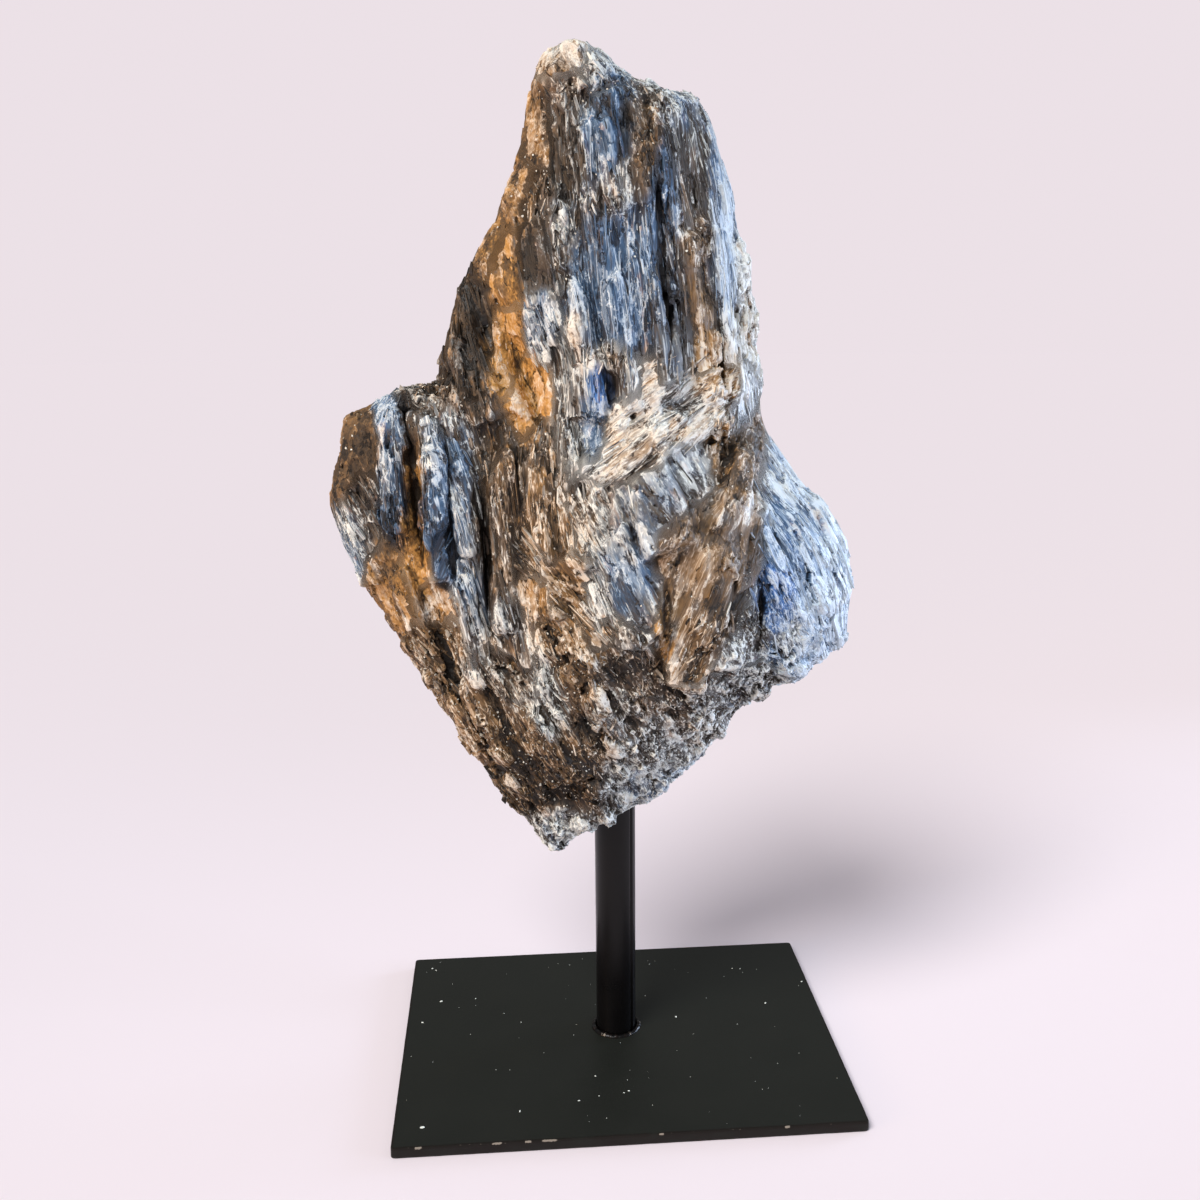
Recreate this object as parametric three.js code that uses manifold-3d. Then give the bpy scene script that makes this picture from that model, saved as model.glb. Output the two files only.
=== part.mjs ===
// A kyanite specimen on a stand: a bladed stone drilled from below, glued on a seamed steel post
// that stands in a socket of a rectangular steel plate. Millimetres, +Z up, the front faces -Y.
// The origin is the middle of the plate's underside.
import * as THREE from "three";
import { ConvexGeometry } from "three/addons/geometries/ConvexGeometry.js";
import { mergeVertices } from "three/addons/utils/BufferGeometryUtils.js";
import Module from "manifold-3d";

const wasm = await Module();
wasm.setup();

// Driving dimensions of the stand
const PLATE_WIDTH = 101.6;
const PLATE_DEPTH = 76.2;
const PLATE_THICK = 2.5;
const PLATE_CORNER_R = 1.5;
const PLATE_EDGE_BREAK = 0.3;
const PLATE_CORNER_STEPS = 2;
const POST_D = 9.5;
const POST_WALL = 1.2;
const POST_BACK = 3; // the post stands this far behind the plate's middle
const POST_TOP = 76; // its end inside the stone
const POST_SIDES = 48;
const SEAM_WIDTH = 0.5;
const SEAM_DEPTH = 0.6;
const SEAM_TURN = 48; // degrees from straight ahead to the seam, towards +X
const SOCKET_DEPTH = 1.5; // how deep the post stands in the plate
const FIT_GAP = 0.3; // clearance round the post in the plate and in the stone
const POST_FOOT = PLATE_THICK - SOCKET_DEPTH + FIT_GAP;
const BEAD_WIDTH = 1;
const BEAD_HEIGHT = 0.7;
const BEAD_SIDES = 32;

// Driving dimensions of the stone
// Its outline seen from the front: height, left edge, right edge
const OUTLINE = [
  [52.5, -15, -11.5],
  [54.5, -18, -9.5],
  [58, -21, -1],
  [63, -24.5, 8.5],
  [69, -28.5, 16],
  [74, -31, 21.5],
  [80, -34, 26],
  [85, -37.5, 30],
  [89, -40, 37],
  [92, -42, 44.5],
  [98, -46.5, 51.5],
  [110, -53.5, 53.5],
  [121, -58.5, 51.5],
  [129, -60.5, 46.5],
  [137, -60.5, 39.5],
  [144, -59, 34.5],
  [149, -57, 33.5],
  [152, -52.5, 33],
  [155, -46.5, 32.5],
  [156.5, -36, 32.5],
  [164, -35, 31],
  [174, -33, 30.5],
  [181, -28.5, 29],
  [188, -25, 26],
  [195, -21.5, 24.5],
  [202, -19, 22],
  [209, -17.5, 20],
  [213, -16.5, 15],
  [215.5, -16, 4],
  [218, -15, 0.5],
  [220.5, -13.5, -2],
  [222, -11.5, -6],
];
// Swells of its front and back: middle x and z, half widths in x and z, how far they stand out
const BASE_DEPTH = 7;
const FRONT_SWELLS = [
  [2, 190, 24, 42, 8],
  [14, 118, 30, 32, 16],
  [-12, 90, 28, 30, 9],
  [40, 108, 14, 20, 6],
  [-46, 128, 16, 24, 4],
];
const BACK_SWELLS = [
  [4, 185, 24, 42, 8],
  [2, 112, 38, 36, 14],
  [-42, 130, 18, 24, 5],
];
const EDGE_POWER = 2.6; // how squarely the flanks turn from front to back
const SECTION_STEPS = 12;
const ROUGHNESS = 1.1; // unevenness of the bare rock between the blades

const JOIN_TOLERANCE = 0.08; // joined faces are kept to this

const FRONT = -1;
const BACK = 1;

// A repeatable run of numbers from 0 to 1
function randomFrom(seed) {
  let state = seed;
  return () => {
    state = (state + 0x6d2b79f5) | 0;
    let t = Math.imul(state ^ (state >>> 15), 1 | state);
    t = (t + Math.imul(t ^ (t >>> 7), 61 | t)) ^ t;
    return ((t ^ (t >>> 14)) >>> 0) / 4294967296;
  };
}

const mix = (a, b, t) => a + (b - a) * t;
const within = (range, t) => mix(range[0], range[1], t);
const radians = THREE.MathUtils.degToRad;

// A geometry as a manifold-3d solid, for joining and cutting
function solidOf(geometry) {
  const bare = geometry.index ? geometry.toNonIndexed() : geometry.clone();
  bare.deleteAttribute("normal");
  bare.deleteAttribute("uv");
  const merged = mergeVertices(bare, 1e-4);
  return new wasm.Manifold(
    new wasm.Mesh({
      numProp: 3,
      vertProperties: merged.attributes.position.array,
      triVerts: new Uint32Array(merged.index.array),
      tolerance: JOIN_TOLERANCE,
    }),
  );
}

// A manifold-3d solid as a geometry, for a mesh
function geometryOf(solid) {
  const { vertProperties, triVerts } = solid.getMesh();
  const geometry = new THREE.BufferGeometry();
  geometry.setAttribute("position", new THREE.BufferAttribute(vertProperties, 3));
  geometry.setIndex(outerSkin(vertProperties, triVerts));
  geometry.computeVertexNormals();
  return geometry;
}

// The triangles of a solid's outer skin: a pocket sealed in between crystals is filled with rock
function outerSkin(positions, triangles) {
  const leader = Array.from({ length: positions.length / 3 }, (_, i) => i);
  const find = (corner) => {
    while (leader[corner] !== corner) corner = leader[corner] = leader[leader[corner]];
    return corner;
  };
  for (let i = 0; i < triangles.length; i++) {
    leader[find(triangles[i])] = find(triangles[i - (i % 3)]);
  }
  const volumes = new Map();
  const corner = (i) => new THREE.Vector3().fromArray(positions, 3 * triangles[i]);
  for (let i = 0; i < triangles.length; i += 3) {
    const skin = find(triangles[i]);
    const volume = corner(i).dot(corner(i + 1).cross(corner(i + 2)));
    volumes.set(skin, (volumes.get(skin) ?? 0) + volume);
  }
  const [outer] = [...volumes].reduce((best, next) => (next[1] > best[1] ? next : best));
  return [...triangles].filter((_, i) => find(triangles[i - (i % 3)]) === outer);
}

// The left and right edges of the stone at a height
function edgesAt(z) {
  const last = OUTLINE.length - 1;
  const above = OUTLINE.findIndex((row) => row[0] > z);
  if (above === 0) return [OUTLINE[0][1], OUTLINE[0][2]];
  if (above < 0) return [OUTLINE[last][1], OUTLINE[last][2]];
  const [low, high] = [OUTLINE[above - 1], OUTLINE[above]];
  const t = (z - low[0]) / (high[0] - low[0]);
  return [mix(low[1], high[1], t), mix(low[2], high[2], t)];
}

// How far a side of the stone stands from the post's plane, before it turns in at the flanks
function swell(side, x, z) {
  const swells = side === FRONT ? FRONT_SWELLS : BACK_SWELLS;
  return swells.reduce(
    (sum, [cx, cz, rx, rz, depth]) =>
      sum + depth * Math.exp(-(((x - cx) / rx) ** 2) - ((z - cz) / rz) ** 2),
    BASE_DEPTH,
  );
}

// The y of the bare rock's surface on one side
function surface(side, x, z) {
  const [left, right] = edgesAt(z);
  const across = Math.min(1, Math.abs((2 * x - left - right) / (right - left)));
  return POST_BACK + side * swell(side, x, z) * Math.sqrt(1 - across ** EDGE_POWER);
}

// True where a point seen from the front lies inside the outline, grown by a margin
function inside(x, z, margin) {
  const [left, right] = edgesAt(z - Math.max(0, margin));
  const top = OUTLINE[OUTLINE.length - 1][0];
  return x > left - margin && x < right + margin && z < top + margin;
}

// The bare rock: rings of points lofted up the outline, front from left to right and back again
function bareRock() {
  const random = randomFrom(7);
  const rough = () => (random() - 0.5) * 2 * ROUGHNESS;
  const points = [];
  const ringSize = 2 * SECTION_STEPS;
  for (const [z, left, right] of OUTLINE) {
    for (let i = 0; i < ringSize; i++) {
      const side = i < SECTION_STEPS ? FRONT : BACK;
      const step = side === FRONT ? i : ringSize - i;
      const x = mix(left, right, (1 - Math.cos((Math.PI * step) / SECTION_STEPS)) / 2);
      const edge = step === 0 || step === SECTION_STEPS;
      const y = edge ? POST_BACK : surface(side, x, z);
      points.push(x + rough() * 0.4, y + rough(), z);
    }
  }
  const rings = OUTLINE.length;
  const faces = [];
  for (let r = 0; r < rings - 1; r++) {
    for (let i = 0; i < ringSize; i++) {
      const next = (i + 1) % ringSize;
      const [a, b] = [r * ringSize + i, r * ringSize + next];
      const [c, d] = [a + ringSize, b + ringSize];
      faces.push(a, b, d, a, d, c);
    }
  }
  for (let i = 1; i < ringSize - 1; i++) {
    const top = (rings - 1) * ringSize;
    faces.push(0, i + 1, i, top, top + i, top + i + 1);
  }
  const geometry = new THREE.BufferGeometry();
  geometry.setAttribute("position", new THREE.Float32BufferAttribute(points, 3));
  geometry.setIndex(faces);
  return solidOf(geometry);
}

// The directions of something that lies on a side of the stone: along it, across it and outwards.
// lean is its angle from upright, towards +X at the top, dive tips its top outwards, roll turns it.
function axesOn(side, { lean = 0, dive = 0, roll = 0 }) {
  const along = new THREE.Vector3(
    Math.sin(radians(lean)) * Math.cos(radians(dive)),
    side * Math.sin(radians(dive)),
    Math.cos(radians(lean)) * Math.cos(radians(dive)),
  );
  const out = new THREE.Vector3(0, side, 0).addScaledVector(along, -side * along.y).normalize();
  out.applyAxisAngle(along, radians(roll));
  const across = new THREE.Vector3().crossVectors(along, out);
  return { along, across, out };
}

// A crystal blade: a flat four-sided prism that ends in a slanting chisel edge
function blade(side, { foot, length, width, thick, proud, slant = 0, taper = 0.8, ...turn }) {
  const { along, across, out } = axesOn(side, turn);
  const start = new THREE.Vector3(foot[0], surface(side, ...foot), foot[1]);
  start.addScaledVector(out, proud - thick / 2);
  const at = (l, w, t) =>
    start.clone().addScaledVector(along, l).addScaledVector(across, w).addScaledVector(out, t);
  const half = width / 2;
  const points = [];
  for (const w of [-1, 1]) {
    const shoulder = length * (0.9 + 0.06 * w * slant);
    points.push(at(0, w * half, -thick / 2), at(0, w * half * 0.86, thick / 2));
    points.push(at(shoulder, w * half * taper, -thick / 2));
    points.push(at(shoulder * 0.97, w * half * taper * 0.84, thick / 2));
    points.push(at(length * (1 + 0.08 * w * slant), w * half * taper * 0.7, -thick * 0.2));
  }
  return solidOf(new ConvexGeometry(points));
}

// Bundles of near-parallel blades: their feet run along a line across the stone
const BUNDLES = [
  { name: "tower front foot", side: FRONT, from: [-14, 150], to: [26, 150], count: 9,
    lean: [-9, -5], length: [26, 42], width: [4.5, 7], proud: [0.8, 3.2] },
  { name: "tower front middle", side: FRONT, from: [-17, 170], to: [24, 168], count: 8,
    lean: [-10, -6], length: [18, 32], width: [4, 6.5], proud: [0.6, 2.6] },
  { name: "tower front head", side: FRONT, from: [-9, 190], to: [17, 188], count: 7,
    lean: [-8, -6], length: [14, 24], width: [3.5, 6], proud: [0.6, 2.4] },
  { name: "tower left flank", side: FRONT, from: [-30, 150], to: [-24, 154], count: 3,
    lean: [-18, -14], length: [20, 28], width: [4.5, 6], proud: [1.5, 3] },
  { name: "heart front", side: FRONT, from: [-18, 112], to: [0, 120], count: 5,
    lean: [-6, 3], length: [24, 36], width: [4.5, 7], proud: [1, 3] },
  { name: "belly left", side: FRONT, from: [-30, 80], to: [-4, 76], count: 6,
    lean: [-32, -24], length: [16, 28], width: [5, 8], proud: [0.8, 2.8] },
  { name: "belly right", side: FRONT, from: [0, 76], to: [22, 86], count: 4,
    lean: [-30, 14], length: [12, 22], width: [5, 8], proud: [0.8, 2.6] },
  { name: "tower back foot", side: BACK, from: [-22, 146], to: [26, 146], count: 7,
    lean: [-12, -4], length: [28, 46], width: [5, 8.5], proud: [0.8, 3.2] },
  { name: "tower back head", side: BACK, from: [-14, 178], to: [20, 176], count: 5,
    lean: [-9, -6], length: [18, 34], width: [4, 7], proud: [0.6, 2.6] },
  { name: "wing back", side: BACK, from: [-50, 106], to: [-24, 100], count: 4,
    lean: [-18, -8], length: [34, 48], width: [5, 8], proud: [1, 3.5] },
  { name: "heart back", side: BACK, from: [-16, 104], to: [34, 104], count: 6,
    lean: [-12, 14], length: [28, 44], width: [6, 10], proud: [0.8, 3] },
  { name: "belly back", side: BACK, from: [-32, 76], to: [20, 80], count: 5,
    lean: [-28, 12], length: [18, 30], width: [5, 9], proud: [0.8, 2.8] },
];

function bundle({ side, from, to, count, lean, length, width, proud, over = -1.5 }, seed) {
  const random = randomFrom(seed);
  const blades = [];
  for (let i = 0; i < count; i++) {
    const t = (i + 0.5 + (random() - 0.5) * 0.7) / count;
    const foot = [mix(from[0], to[0], t), mix(from[1], to[1], t) + (random() - 0.5) * 10];
    const turn = within(lean, t) + (random() - 0.5) * 5;
    let long = within(length, random());
    const tip = () => [
      foot[0] + long * Math.sin(radians(turn)),
      foot[1] + long * Math.cos(radians(turn)),
    ];
    while (long > 8 && !inside(...tip(), over)) long *= 0.92;
    blades.push(
      blade(side, {
        foot,
        lean: turn,
        dive: alongSurface(side, foot, tip()),
        roll: (random() - 0.5) * 36,
        length: long,
        width: within(width, random()),
        thick: 7,
        proud: within(proud, random()),
        slant: random() < 0.5 ? -1 : 1,
      }),
    );
  }
  return blades;
}

// The dive that keeps something level with the rock from its foot to its tip
function alongSurface(side, foot, tip) {
  const reach = Math.hypot(tip[0] - foot[0], tip[1] - foot[1]);
  const rise = side * (surface(side, ...tip) - surface(side, ...foot));
  return THREE.MathUtils.radToDeg(Math.atan2(rise, reach));
}

// Single crystals of the front, from foot to tip: the wing's blades, the fan's broad cleavage
// plates and the facets of the blue boss
const CRYSTALS = [
  { foot: [-46, 126], tip: [-47, 153], width: 5.5, proud: 3, roll: -10 },
  { foot: [-37.5, 136], tip: [-39.5, 154.5], width: 7, proud: 1.6, roll: 12 },
  { foot: [-37, 116], tip: [-38.5, 145], width: 5.5, proud: 4, roll: -8 },
  { foot: [-31, 122], tip: [-33.5, 144], width: 6, proud: 2.6, roll: 10 },
  { foot: [-24.5, 106], tip: [-23.5, 146], width: 6.5, proud: 3, roll: -12 },
  { foot: [-52.5, 114], tip: [-57, 140], width: 5, proud: 2, roll: -16 },
  { foot: [-29, 94], tip: [-34.5, 119], width: 6, proud: 3, roll: 14 },
  { foot: [-49.5, 120], tip: [-53, 146], width: 6, proud: 1.2, roll: -20 },
  { foot: [-40, 98], tip: [-47, 120], width: 6.5, proud: 2, roll: -14 },
  { foot: [-7, 137], tip: [14, 152], width: 9, proud: 3.6, roll: -24 },
  { foot: [6, 145], tip: [23, 150], width: 9, proud: 3.6, roll: -16 },
  { foot: [10, 124], tip: [4, 142], width: 13, proud: 3.2, roll: 8 },
  { foot: [5, 106], tip: [-3, 130], width: 11, proud: 2.6, roll: -14 },
  { foot: [11.5, 95], tip: [21, 128], width: 11, proud: 4, roll: 8 },
  { foot: [20, 98], tip: [28, 134], width: 10, proud: 3.4, roll: 18 },
  { foot: [21, 126], tip: [27, 147], width: 9, proud: 3, roll: 16 },
  { foot: [44, 92], tip: [33, 124], width: 14, proud: 1.8, roll: 24 },
  { foot: [49, 97], tip: [41, 122], width: 10, proud: 1.5, roll: 38 },
];

function crystal({ foot, tip, ...shape }) {
  const run = [tip[0] - foot[0], tip[1] - foot[1]];
  return blade(FRONT, {
    foot,
    lean: THREE.MathUtils.radToDeg(Math.atan2(...run)),
    dive: alongSurface(FRONT, foot, tip),
    length: Math.hypot(...run),
    thick: 8,
    slant: 1,
    ...shape,
  });
}

// Crystalline lumps of the granular rock: middle x and z, radius. Those low down go right round.
const LUMPS_ROUND_BELOW = 76;
const LUMPS = [
  [31, 90, 4],
  [23, 80, 4],
  [38, 95, 4.5],
  [17, 75, 4],
  [8, 68, 4],
  [-8, 62, 4],
  [-15, 59, 4],
  [-22, 71, 4],
  [5, 78, 5],
  [-5, 70, 4.5],
  [15, 85, 4.5],
  [24, 152, 4],
  [-11, 216, 4],
  [-5, 214, 4],
  [-19, 194, 3.5],
  [-25, 180, 4],
];

function lump(side, [x, z, radius], seed) {
  const random = randomFrom(seed);
  const ball = new THREE.IcosahedronGeometry(radius, 0).getAttribute("position");
  const corners = new Map();
  for (let i = 0; i < ball.count; i++) {
    const corner = new THREE.Vector3().fromBufferAttribute(ball, i);
    const key = corner.toArray().map((value) => value.toFixed(3)).join();
    if (!corners.has(key)) corners.set(key, corner.multiplyScalar(mix(0.75, 1.15, random())));
  }
  const middle = new THREE.Vector3(x, surface(side, x, z) - side * radius * 0.45, z);
  return solidOf(new ConvexGeometry([...corners.values()].map((corner) => corner.add(middle))));
}

// Open clefts between blades: from and to on the front, width at the mouth, depth
const CLEFTS = [
  { from: [-43.5, 154], to: [-42.5, 140], width: 2.6, depth: 8 },
  { from: [-28.5, 136], to: [-27, 102], width: 3.4, depth: 9 },
  { from: [-42.5, 146], to: [-40.5, 116], width: 3, depth: 6 },
  { from: [-24.5, 175], to: [-15, 147], width: 8, depth: 8 },
  { from: [-29.5, 177], to: [-23, 155], width: 2.4, depth: 6 },
  { from: [8, 198], to: [10.5, 164], width: 2.2, depth: 4 },
  { from: [-12, 206], to: [-8, 184], width: 2, depth: 3.5 },
  { from: [8.5, 127], to: [9, 100], width: 1.6, depth: 5 },
  { from: [30.5, 121], to: [29, 99], width: 4, depth: 6 },
];

function cleft({ from, to, width, depth }) {
  const run = new THREE.Vector2(to[0] - from[0], to[1] - from[1]);
  const reach = run.length();
  const across = new THREE.Vector2(run.y, -run.x).divideScalar(reach);
  const points = [];
  const ABOVE = 6;
  for (const [t, size] of [[0, 0.35], [0.5, 1], [1, 0.35]]) {
    const x = mix(from[0], to[0], t);
    const z = mix(from[1], to[1], t);
    const y = surface(FRONT, x, z);
    const half = (width / 2) * size;
    const grow = 1 + ABOVE / depth;
    for (const w of [-1, 1]) {
      const [px, pz] = [x + across.x * half * grow * w, z + across.y * half * grow * w];
      points.push(new THREE.Vector3(px, y - ABOVE, pz));
    }
    points.push(new THREE.Vector3(x, y + depth * size, z));
  }
  return solidOf(new ConvexGeometry(points));
}

// Small hollows in the front: middle x and z, half width and half height, depth
const PITS = [
  [24.5, 126, 3.2, 2.4, 3],
  [-36, 95, 1.6, 1.3, 2.4],
  [-15, 197, 1.4, 1.6, 2.2],
  [20, 160, 1.6, 1.6, 2.4],
];

function pit([x, z, halfWidth, halfHeight, depth]) {
  const hollow = new THREE.IcosahedronGeometry(1, 1);
  hollow.scale(halfWidth, depth, halfHeight);
  hollow.translate(x, surface(FRONT, x, z) - 1, z);
  return solidOf(hollow);
}

function postHole() {
  const radius = POST_D / 2 + FIT_GAP;
  const depth = POST_TOP + FIT_GAP;
  const hole = new THREE.CylinderGeometry(radius, radius, depth, POST_SIDES);
  hole.rotateX(Math.PI / 2);
  hole.translate(0, POST_BACK, depth / 2);
  return solidOf(hole);
}

function stoneGeometry() {
  const grown = [
    ...BUNDLES.flatMap((row, i) => bundle(row, 100 + i)),
    ...CRYSTALS.map(crystal),
    ...LUMPS.map((row, i) => lump(FRONT, row, 300 + i)),
    ...LUMPS.filter((row) => row[1] < LUMPS_ROUND_BELOW).map((row, i) => lump(BACK, row, 400 + i)),
  ];
  const whole = grown.reduce((stone, piece) => stone.add(piece), bareRock());
  const cuts = [...CLEFTS.map(cleft), ...PITS.map(pit), postHole()];
  return geometryOf(cuts.reduce((stone, cut) => stone.subtract(cut), whole));
}

// The plate: a sheared rectangle with broken edges and a socket for the post
function plateGeometry() {
  const [w, d, r] = [
    PLATE_WIDTH / 2 - PLATE_EDGE_BREAK,
    PLATE_DEPTH / 2 - PLATE_EDGE_BREAK,
    PLATE_CORNER_R - PLATE_EDGE_BREAK,
  ];
  const corners = [[1, 1], [-1, 1], [-1, -1], [1, -1]];
  const outline = new THREE.Shape(
    corners.flatMap(([sx, sy], quarter) => {
      const start = (quarter * Math.PI) / 2;
      const corner = new THREE.Path();
      corner.absarc(sx * (w - r), sy * (d - r), r, start, start + Math.PI / 2);
      return corner.getPoints(PLATE_CORNER_STEPS);
    }),
  );
  const plate = new THREE.ExtrudeGeometry(outline, {
    depth: PLATE_THICK - 2 * PLATE_EDGE_BREAK,
    bevelEnabled: true,
    bevelThickness: PLATE_EDGE_BREAK,
    bevelSize: PLATE_EDGE_BREAK,
    bevelSegments: 1,
  });
  plate.translate(0, 0, PLATE_EDGE_BREAK);
  return geometryOf(solidOf(plate).subtract(solidOf(socket())));
}

// The post's socket in the plate, its mouth broken like the plate's edges
function socket() {
  const radius = POST_D / 2 + FIT_GAP;
  const mouth = radius + PLATE_EDGE_BREAK;
  const profile = [
    [0, PLATE_THICK - SOCKET_DEPTH],
    [radius, PLATE_THICK - SOCKET_DEPTH],
    [radius, PLATE_THICK - PLATE_EDGE_BREAK],
    [mouth, PLATE_THICK],
    [mouth, 2 * PLATE_THICK],
    [0, 2 * PLATE_THICK],
  ].map(([r, z]) => new THREE.Vector2(r, z));
  const cutter = new THREE.LatheGeometry(profile, BEAD_SIDES);
  cutter.rotateX(Math.PI / 2);
  cutter.translate(0, POST_BACK, 0);
  return cutter;
}

// The post: a rolled steel tube, its butt seam left as a groove down one side
function postGeometry() {
  const ring = new THREE.Shape().absarc(0, 0, POST_D / 2, 0, 2 * Math.PI);
  ring.holes.push(new THREE.Path().absarc(0, 0, POST_D / 2 - POST_WALL, 0, 2 * Math.PI, true));
  const tube = new THREE.ExtrudeGeometry(ring, {
    depth: POST_TOP - POST_FOOT,
    bevelEnabled: false,
    curveSegments: POST_SIDES / 2,
  });
  const groove = new THREE.BoxGeometry(SEAM_WIDTH, 2 * SEAM_DEPTH, 4 * POST_TOP);
  groove.translate(0, -POST_D / 2, 0);
  groove.rotateZ(radians(SEAM_TURN));
  return geometryOf(solidOf(tube).subtract(solidOf(groove)));
}

// The bead of weld round the post's foot
function beadGeometry() {
  const inner = POST_D / 2 + FIT_GAP;
  const profile = [
    [inner, 0],
    [inner + BEAD_WIDTH, 0],
    [inner + BEAD_WIDTH * 0.6, BEAD_HEIGHT * 0.55],
    [inner, BEAD_HEIGHT],
    [inner, 0],
  ].map(([r, z]) => new THREE.Vector2(r, z));
  const bead = new THREE.LatheGeometry(profile, BEAD_SIDES);
  bead.rotateX(Math.PI / 2);
  return bead;
}

const blackPaint = new THREE.MeshStandardMaterial({ color: "#1d1f1d", roughness: 0.5, metalness: 0 });
const blackTube = new THREE.MeshStandardMaterial({ color: "#111012", roughness: 0.4, metalness: 0 });
const kyanite = new THREE.MeshStandardMaterial({ color: "#4c5266", roughness: 0.6, metalness: 0 });

function piece(name, geometry, material, position = [0, 0, 0]) {
  const mesh = new THREE.Mesh(geometry, material);
  mesh.name = name;
  mesh.position.set(...position);
  return mesh;
}

const specimen = new THREE.Group();
specimen.add(
  piece("stand_plate", plateGeometry(), blackPaint),
  piece("weld_bead", beadGeometry(), blackPaint, [0, POST_BACK, PLATE_THICK]),
  piece("post", postGeometry(), blackTube, [0, POST_BACK, POST_FOOT]),
  piece("kyanite", stoneGeometry(), kyanite),
);

export default specimen;
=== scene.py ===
"""A kyanite specimen on its stand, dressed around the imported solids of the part.

The stone's solid is remeshed finely, broken into blades along its grain, and covered with crystals and
mica. The plate, post and bead of the stand are black paint on steel. Shapes are worked out in millimetres.
"""

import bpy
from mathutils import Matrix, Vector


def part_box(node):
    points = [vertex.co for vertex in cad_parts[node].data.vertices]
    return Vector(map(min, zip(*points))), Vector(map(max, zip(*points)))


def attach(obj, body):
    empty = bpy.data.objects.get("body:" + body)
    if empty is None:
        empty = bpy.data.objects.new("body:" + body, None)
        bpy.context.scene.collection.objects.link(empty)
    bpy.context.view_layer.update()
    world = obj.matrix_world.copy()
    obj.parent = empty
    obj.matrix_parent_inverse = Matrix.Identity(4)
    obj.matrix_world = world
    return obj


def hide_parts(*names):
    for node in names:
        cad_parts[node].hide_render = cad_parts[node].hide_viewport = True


bl_info = {
    "name": "Kyanite Specimen",
    "version": (1, 0, 0),
    "blender": (4, 5, 0),
    "location": "View3D > Sidebar > Kyanite",
    "description": "Builds a bladed kyanite stone on a black metal stand",
    "category": "Object",
}

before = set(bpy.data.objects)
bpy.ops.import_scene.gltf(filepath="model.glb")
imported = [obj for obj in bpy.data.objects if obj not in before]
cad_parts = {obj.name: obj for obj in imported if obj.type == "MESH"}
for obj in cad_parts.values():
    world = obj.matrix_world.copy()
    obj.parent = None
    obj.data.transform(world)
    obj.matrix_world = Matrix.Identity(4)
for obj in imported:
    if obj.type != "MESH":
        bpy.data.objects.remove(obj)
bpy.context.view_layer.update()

import math
from typing import NamedTuple

import bpy
import numpy as np
from bpy.props import FloatProperty, FloatVectorProperty, IntProperty, PointerProperty
from mathutils import Matrix, Vector
from mathutils.bvhtree import BVHTree

MM = 0.001
FRONT = -1
BACK = 1


def linear(code):
    """An sRGB hex colour as linear red, green, blue."""
    parts = [int(code[i : i + 2], 16) / 255 for i in (1, 3, 5)]
    return tuple(c / 12.92 if c <= 0.04045 else ((c + 0.055) / 1.055) ** 2.4 for c in parts)


def colour(name, description, code):
    """A colour property whose default is an sRGB hex value."""
    return FloatVectorProperty(name=name, description=description, subtype="COLOR", default=linear(code))


def length(name, description, millimetres):
    """A length property whose default is given in millimetres."""
    return FloatProperty(name=name, description=description, unit="LENGTH", default=millimetres * MM)


class StoneSettings(bpy.types.PropertyGroup):
    """Sizes and colours of the stone."""

    detail: length("Rock detail", "Edge length of the rock's fine mesh", 0.44)
    fibre: length("Fibre width", "Width of the stripes along a blade", 0.55)
    crystals: FloatProperty(
        name="Crystal share",
        description="Share of the full number of loose blades",
        default=1.0,
        min=0.0,
        max=1.0,
    )
    flakes: IntProperty(name="Mica flakes", description="How many flakes glint in the rock", default=4200)
    slate: colour("Slate", "Kyanite with little blue", "#5d5e5e")
    blue: colour("Blue", "Blue kyanite", "#3a5877")
    vivid: colour("Vivid blue", "The purest blue kyanite", "#3a70b2")
    brown: colour("Brown", "Stained rock between the blades", "#765a39")
    ochre: colour("Ochre", "Iron-stained pockets", "#bd8b45")
    silver: colour("Silver", "Frayed edges and fibres in the light", "#e8ebe3")


class StandSettings(bpy.types.PropertyGroup):
    """Sizes and colours of the stand."""

    raggedness: length("Ragged edge", "How far the sheared edge wanders", 0.12)
    paint: colour("Plate paint", "Black paint of the plate", "#1a1c18")
    tube_paint: colour("Post paint", "Black paint of the post", "#080708")
    bare: colour("Bare metal", "Steel where the paint is scuffed", "#8d8378")


class StageSettings(bpy.types.PropertyGroup):
    """The floor, the light and the camera."""

    paper: colour("Paper", "Floor and background", "#f0e5eb")
    lens: FloatProperty(
        name="Lens",
        description="Focal length on a 36 mm sensor, in millimetres",
        default=36.9,
    )


class Zone(NamedTuple):
    """A patch of the stone with one grain direction and its own colours, all seen from the front.

    middle and reach are x and z in millimetres, lean is the grain's angle from upright, towards +X at its
    top. tone goes from dark to pale, the hues from 0 to 1, and style names the blades that grow there.
    """

    middle: tuple
    reach: tuple
    lean: float
    style: str
    tone: float = 0.4
    blue: float = 0.0
    vivid: float = 0.0
    brown: float = 0.0
    ochre: float = 0.0
    pale: float = 0.3
    side: int = FRONT


HUES = ("tone", "blue", "vivid", "brown", "ochre", "pale")

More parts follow.
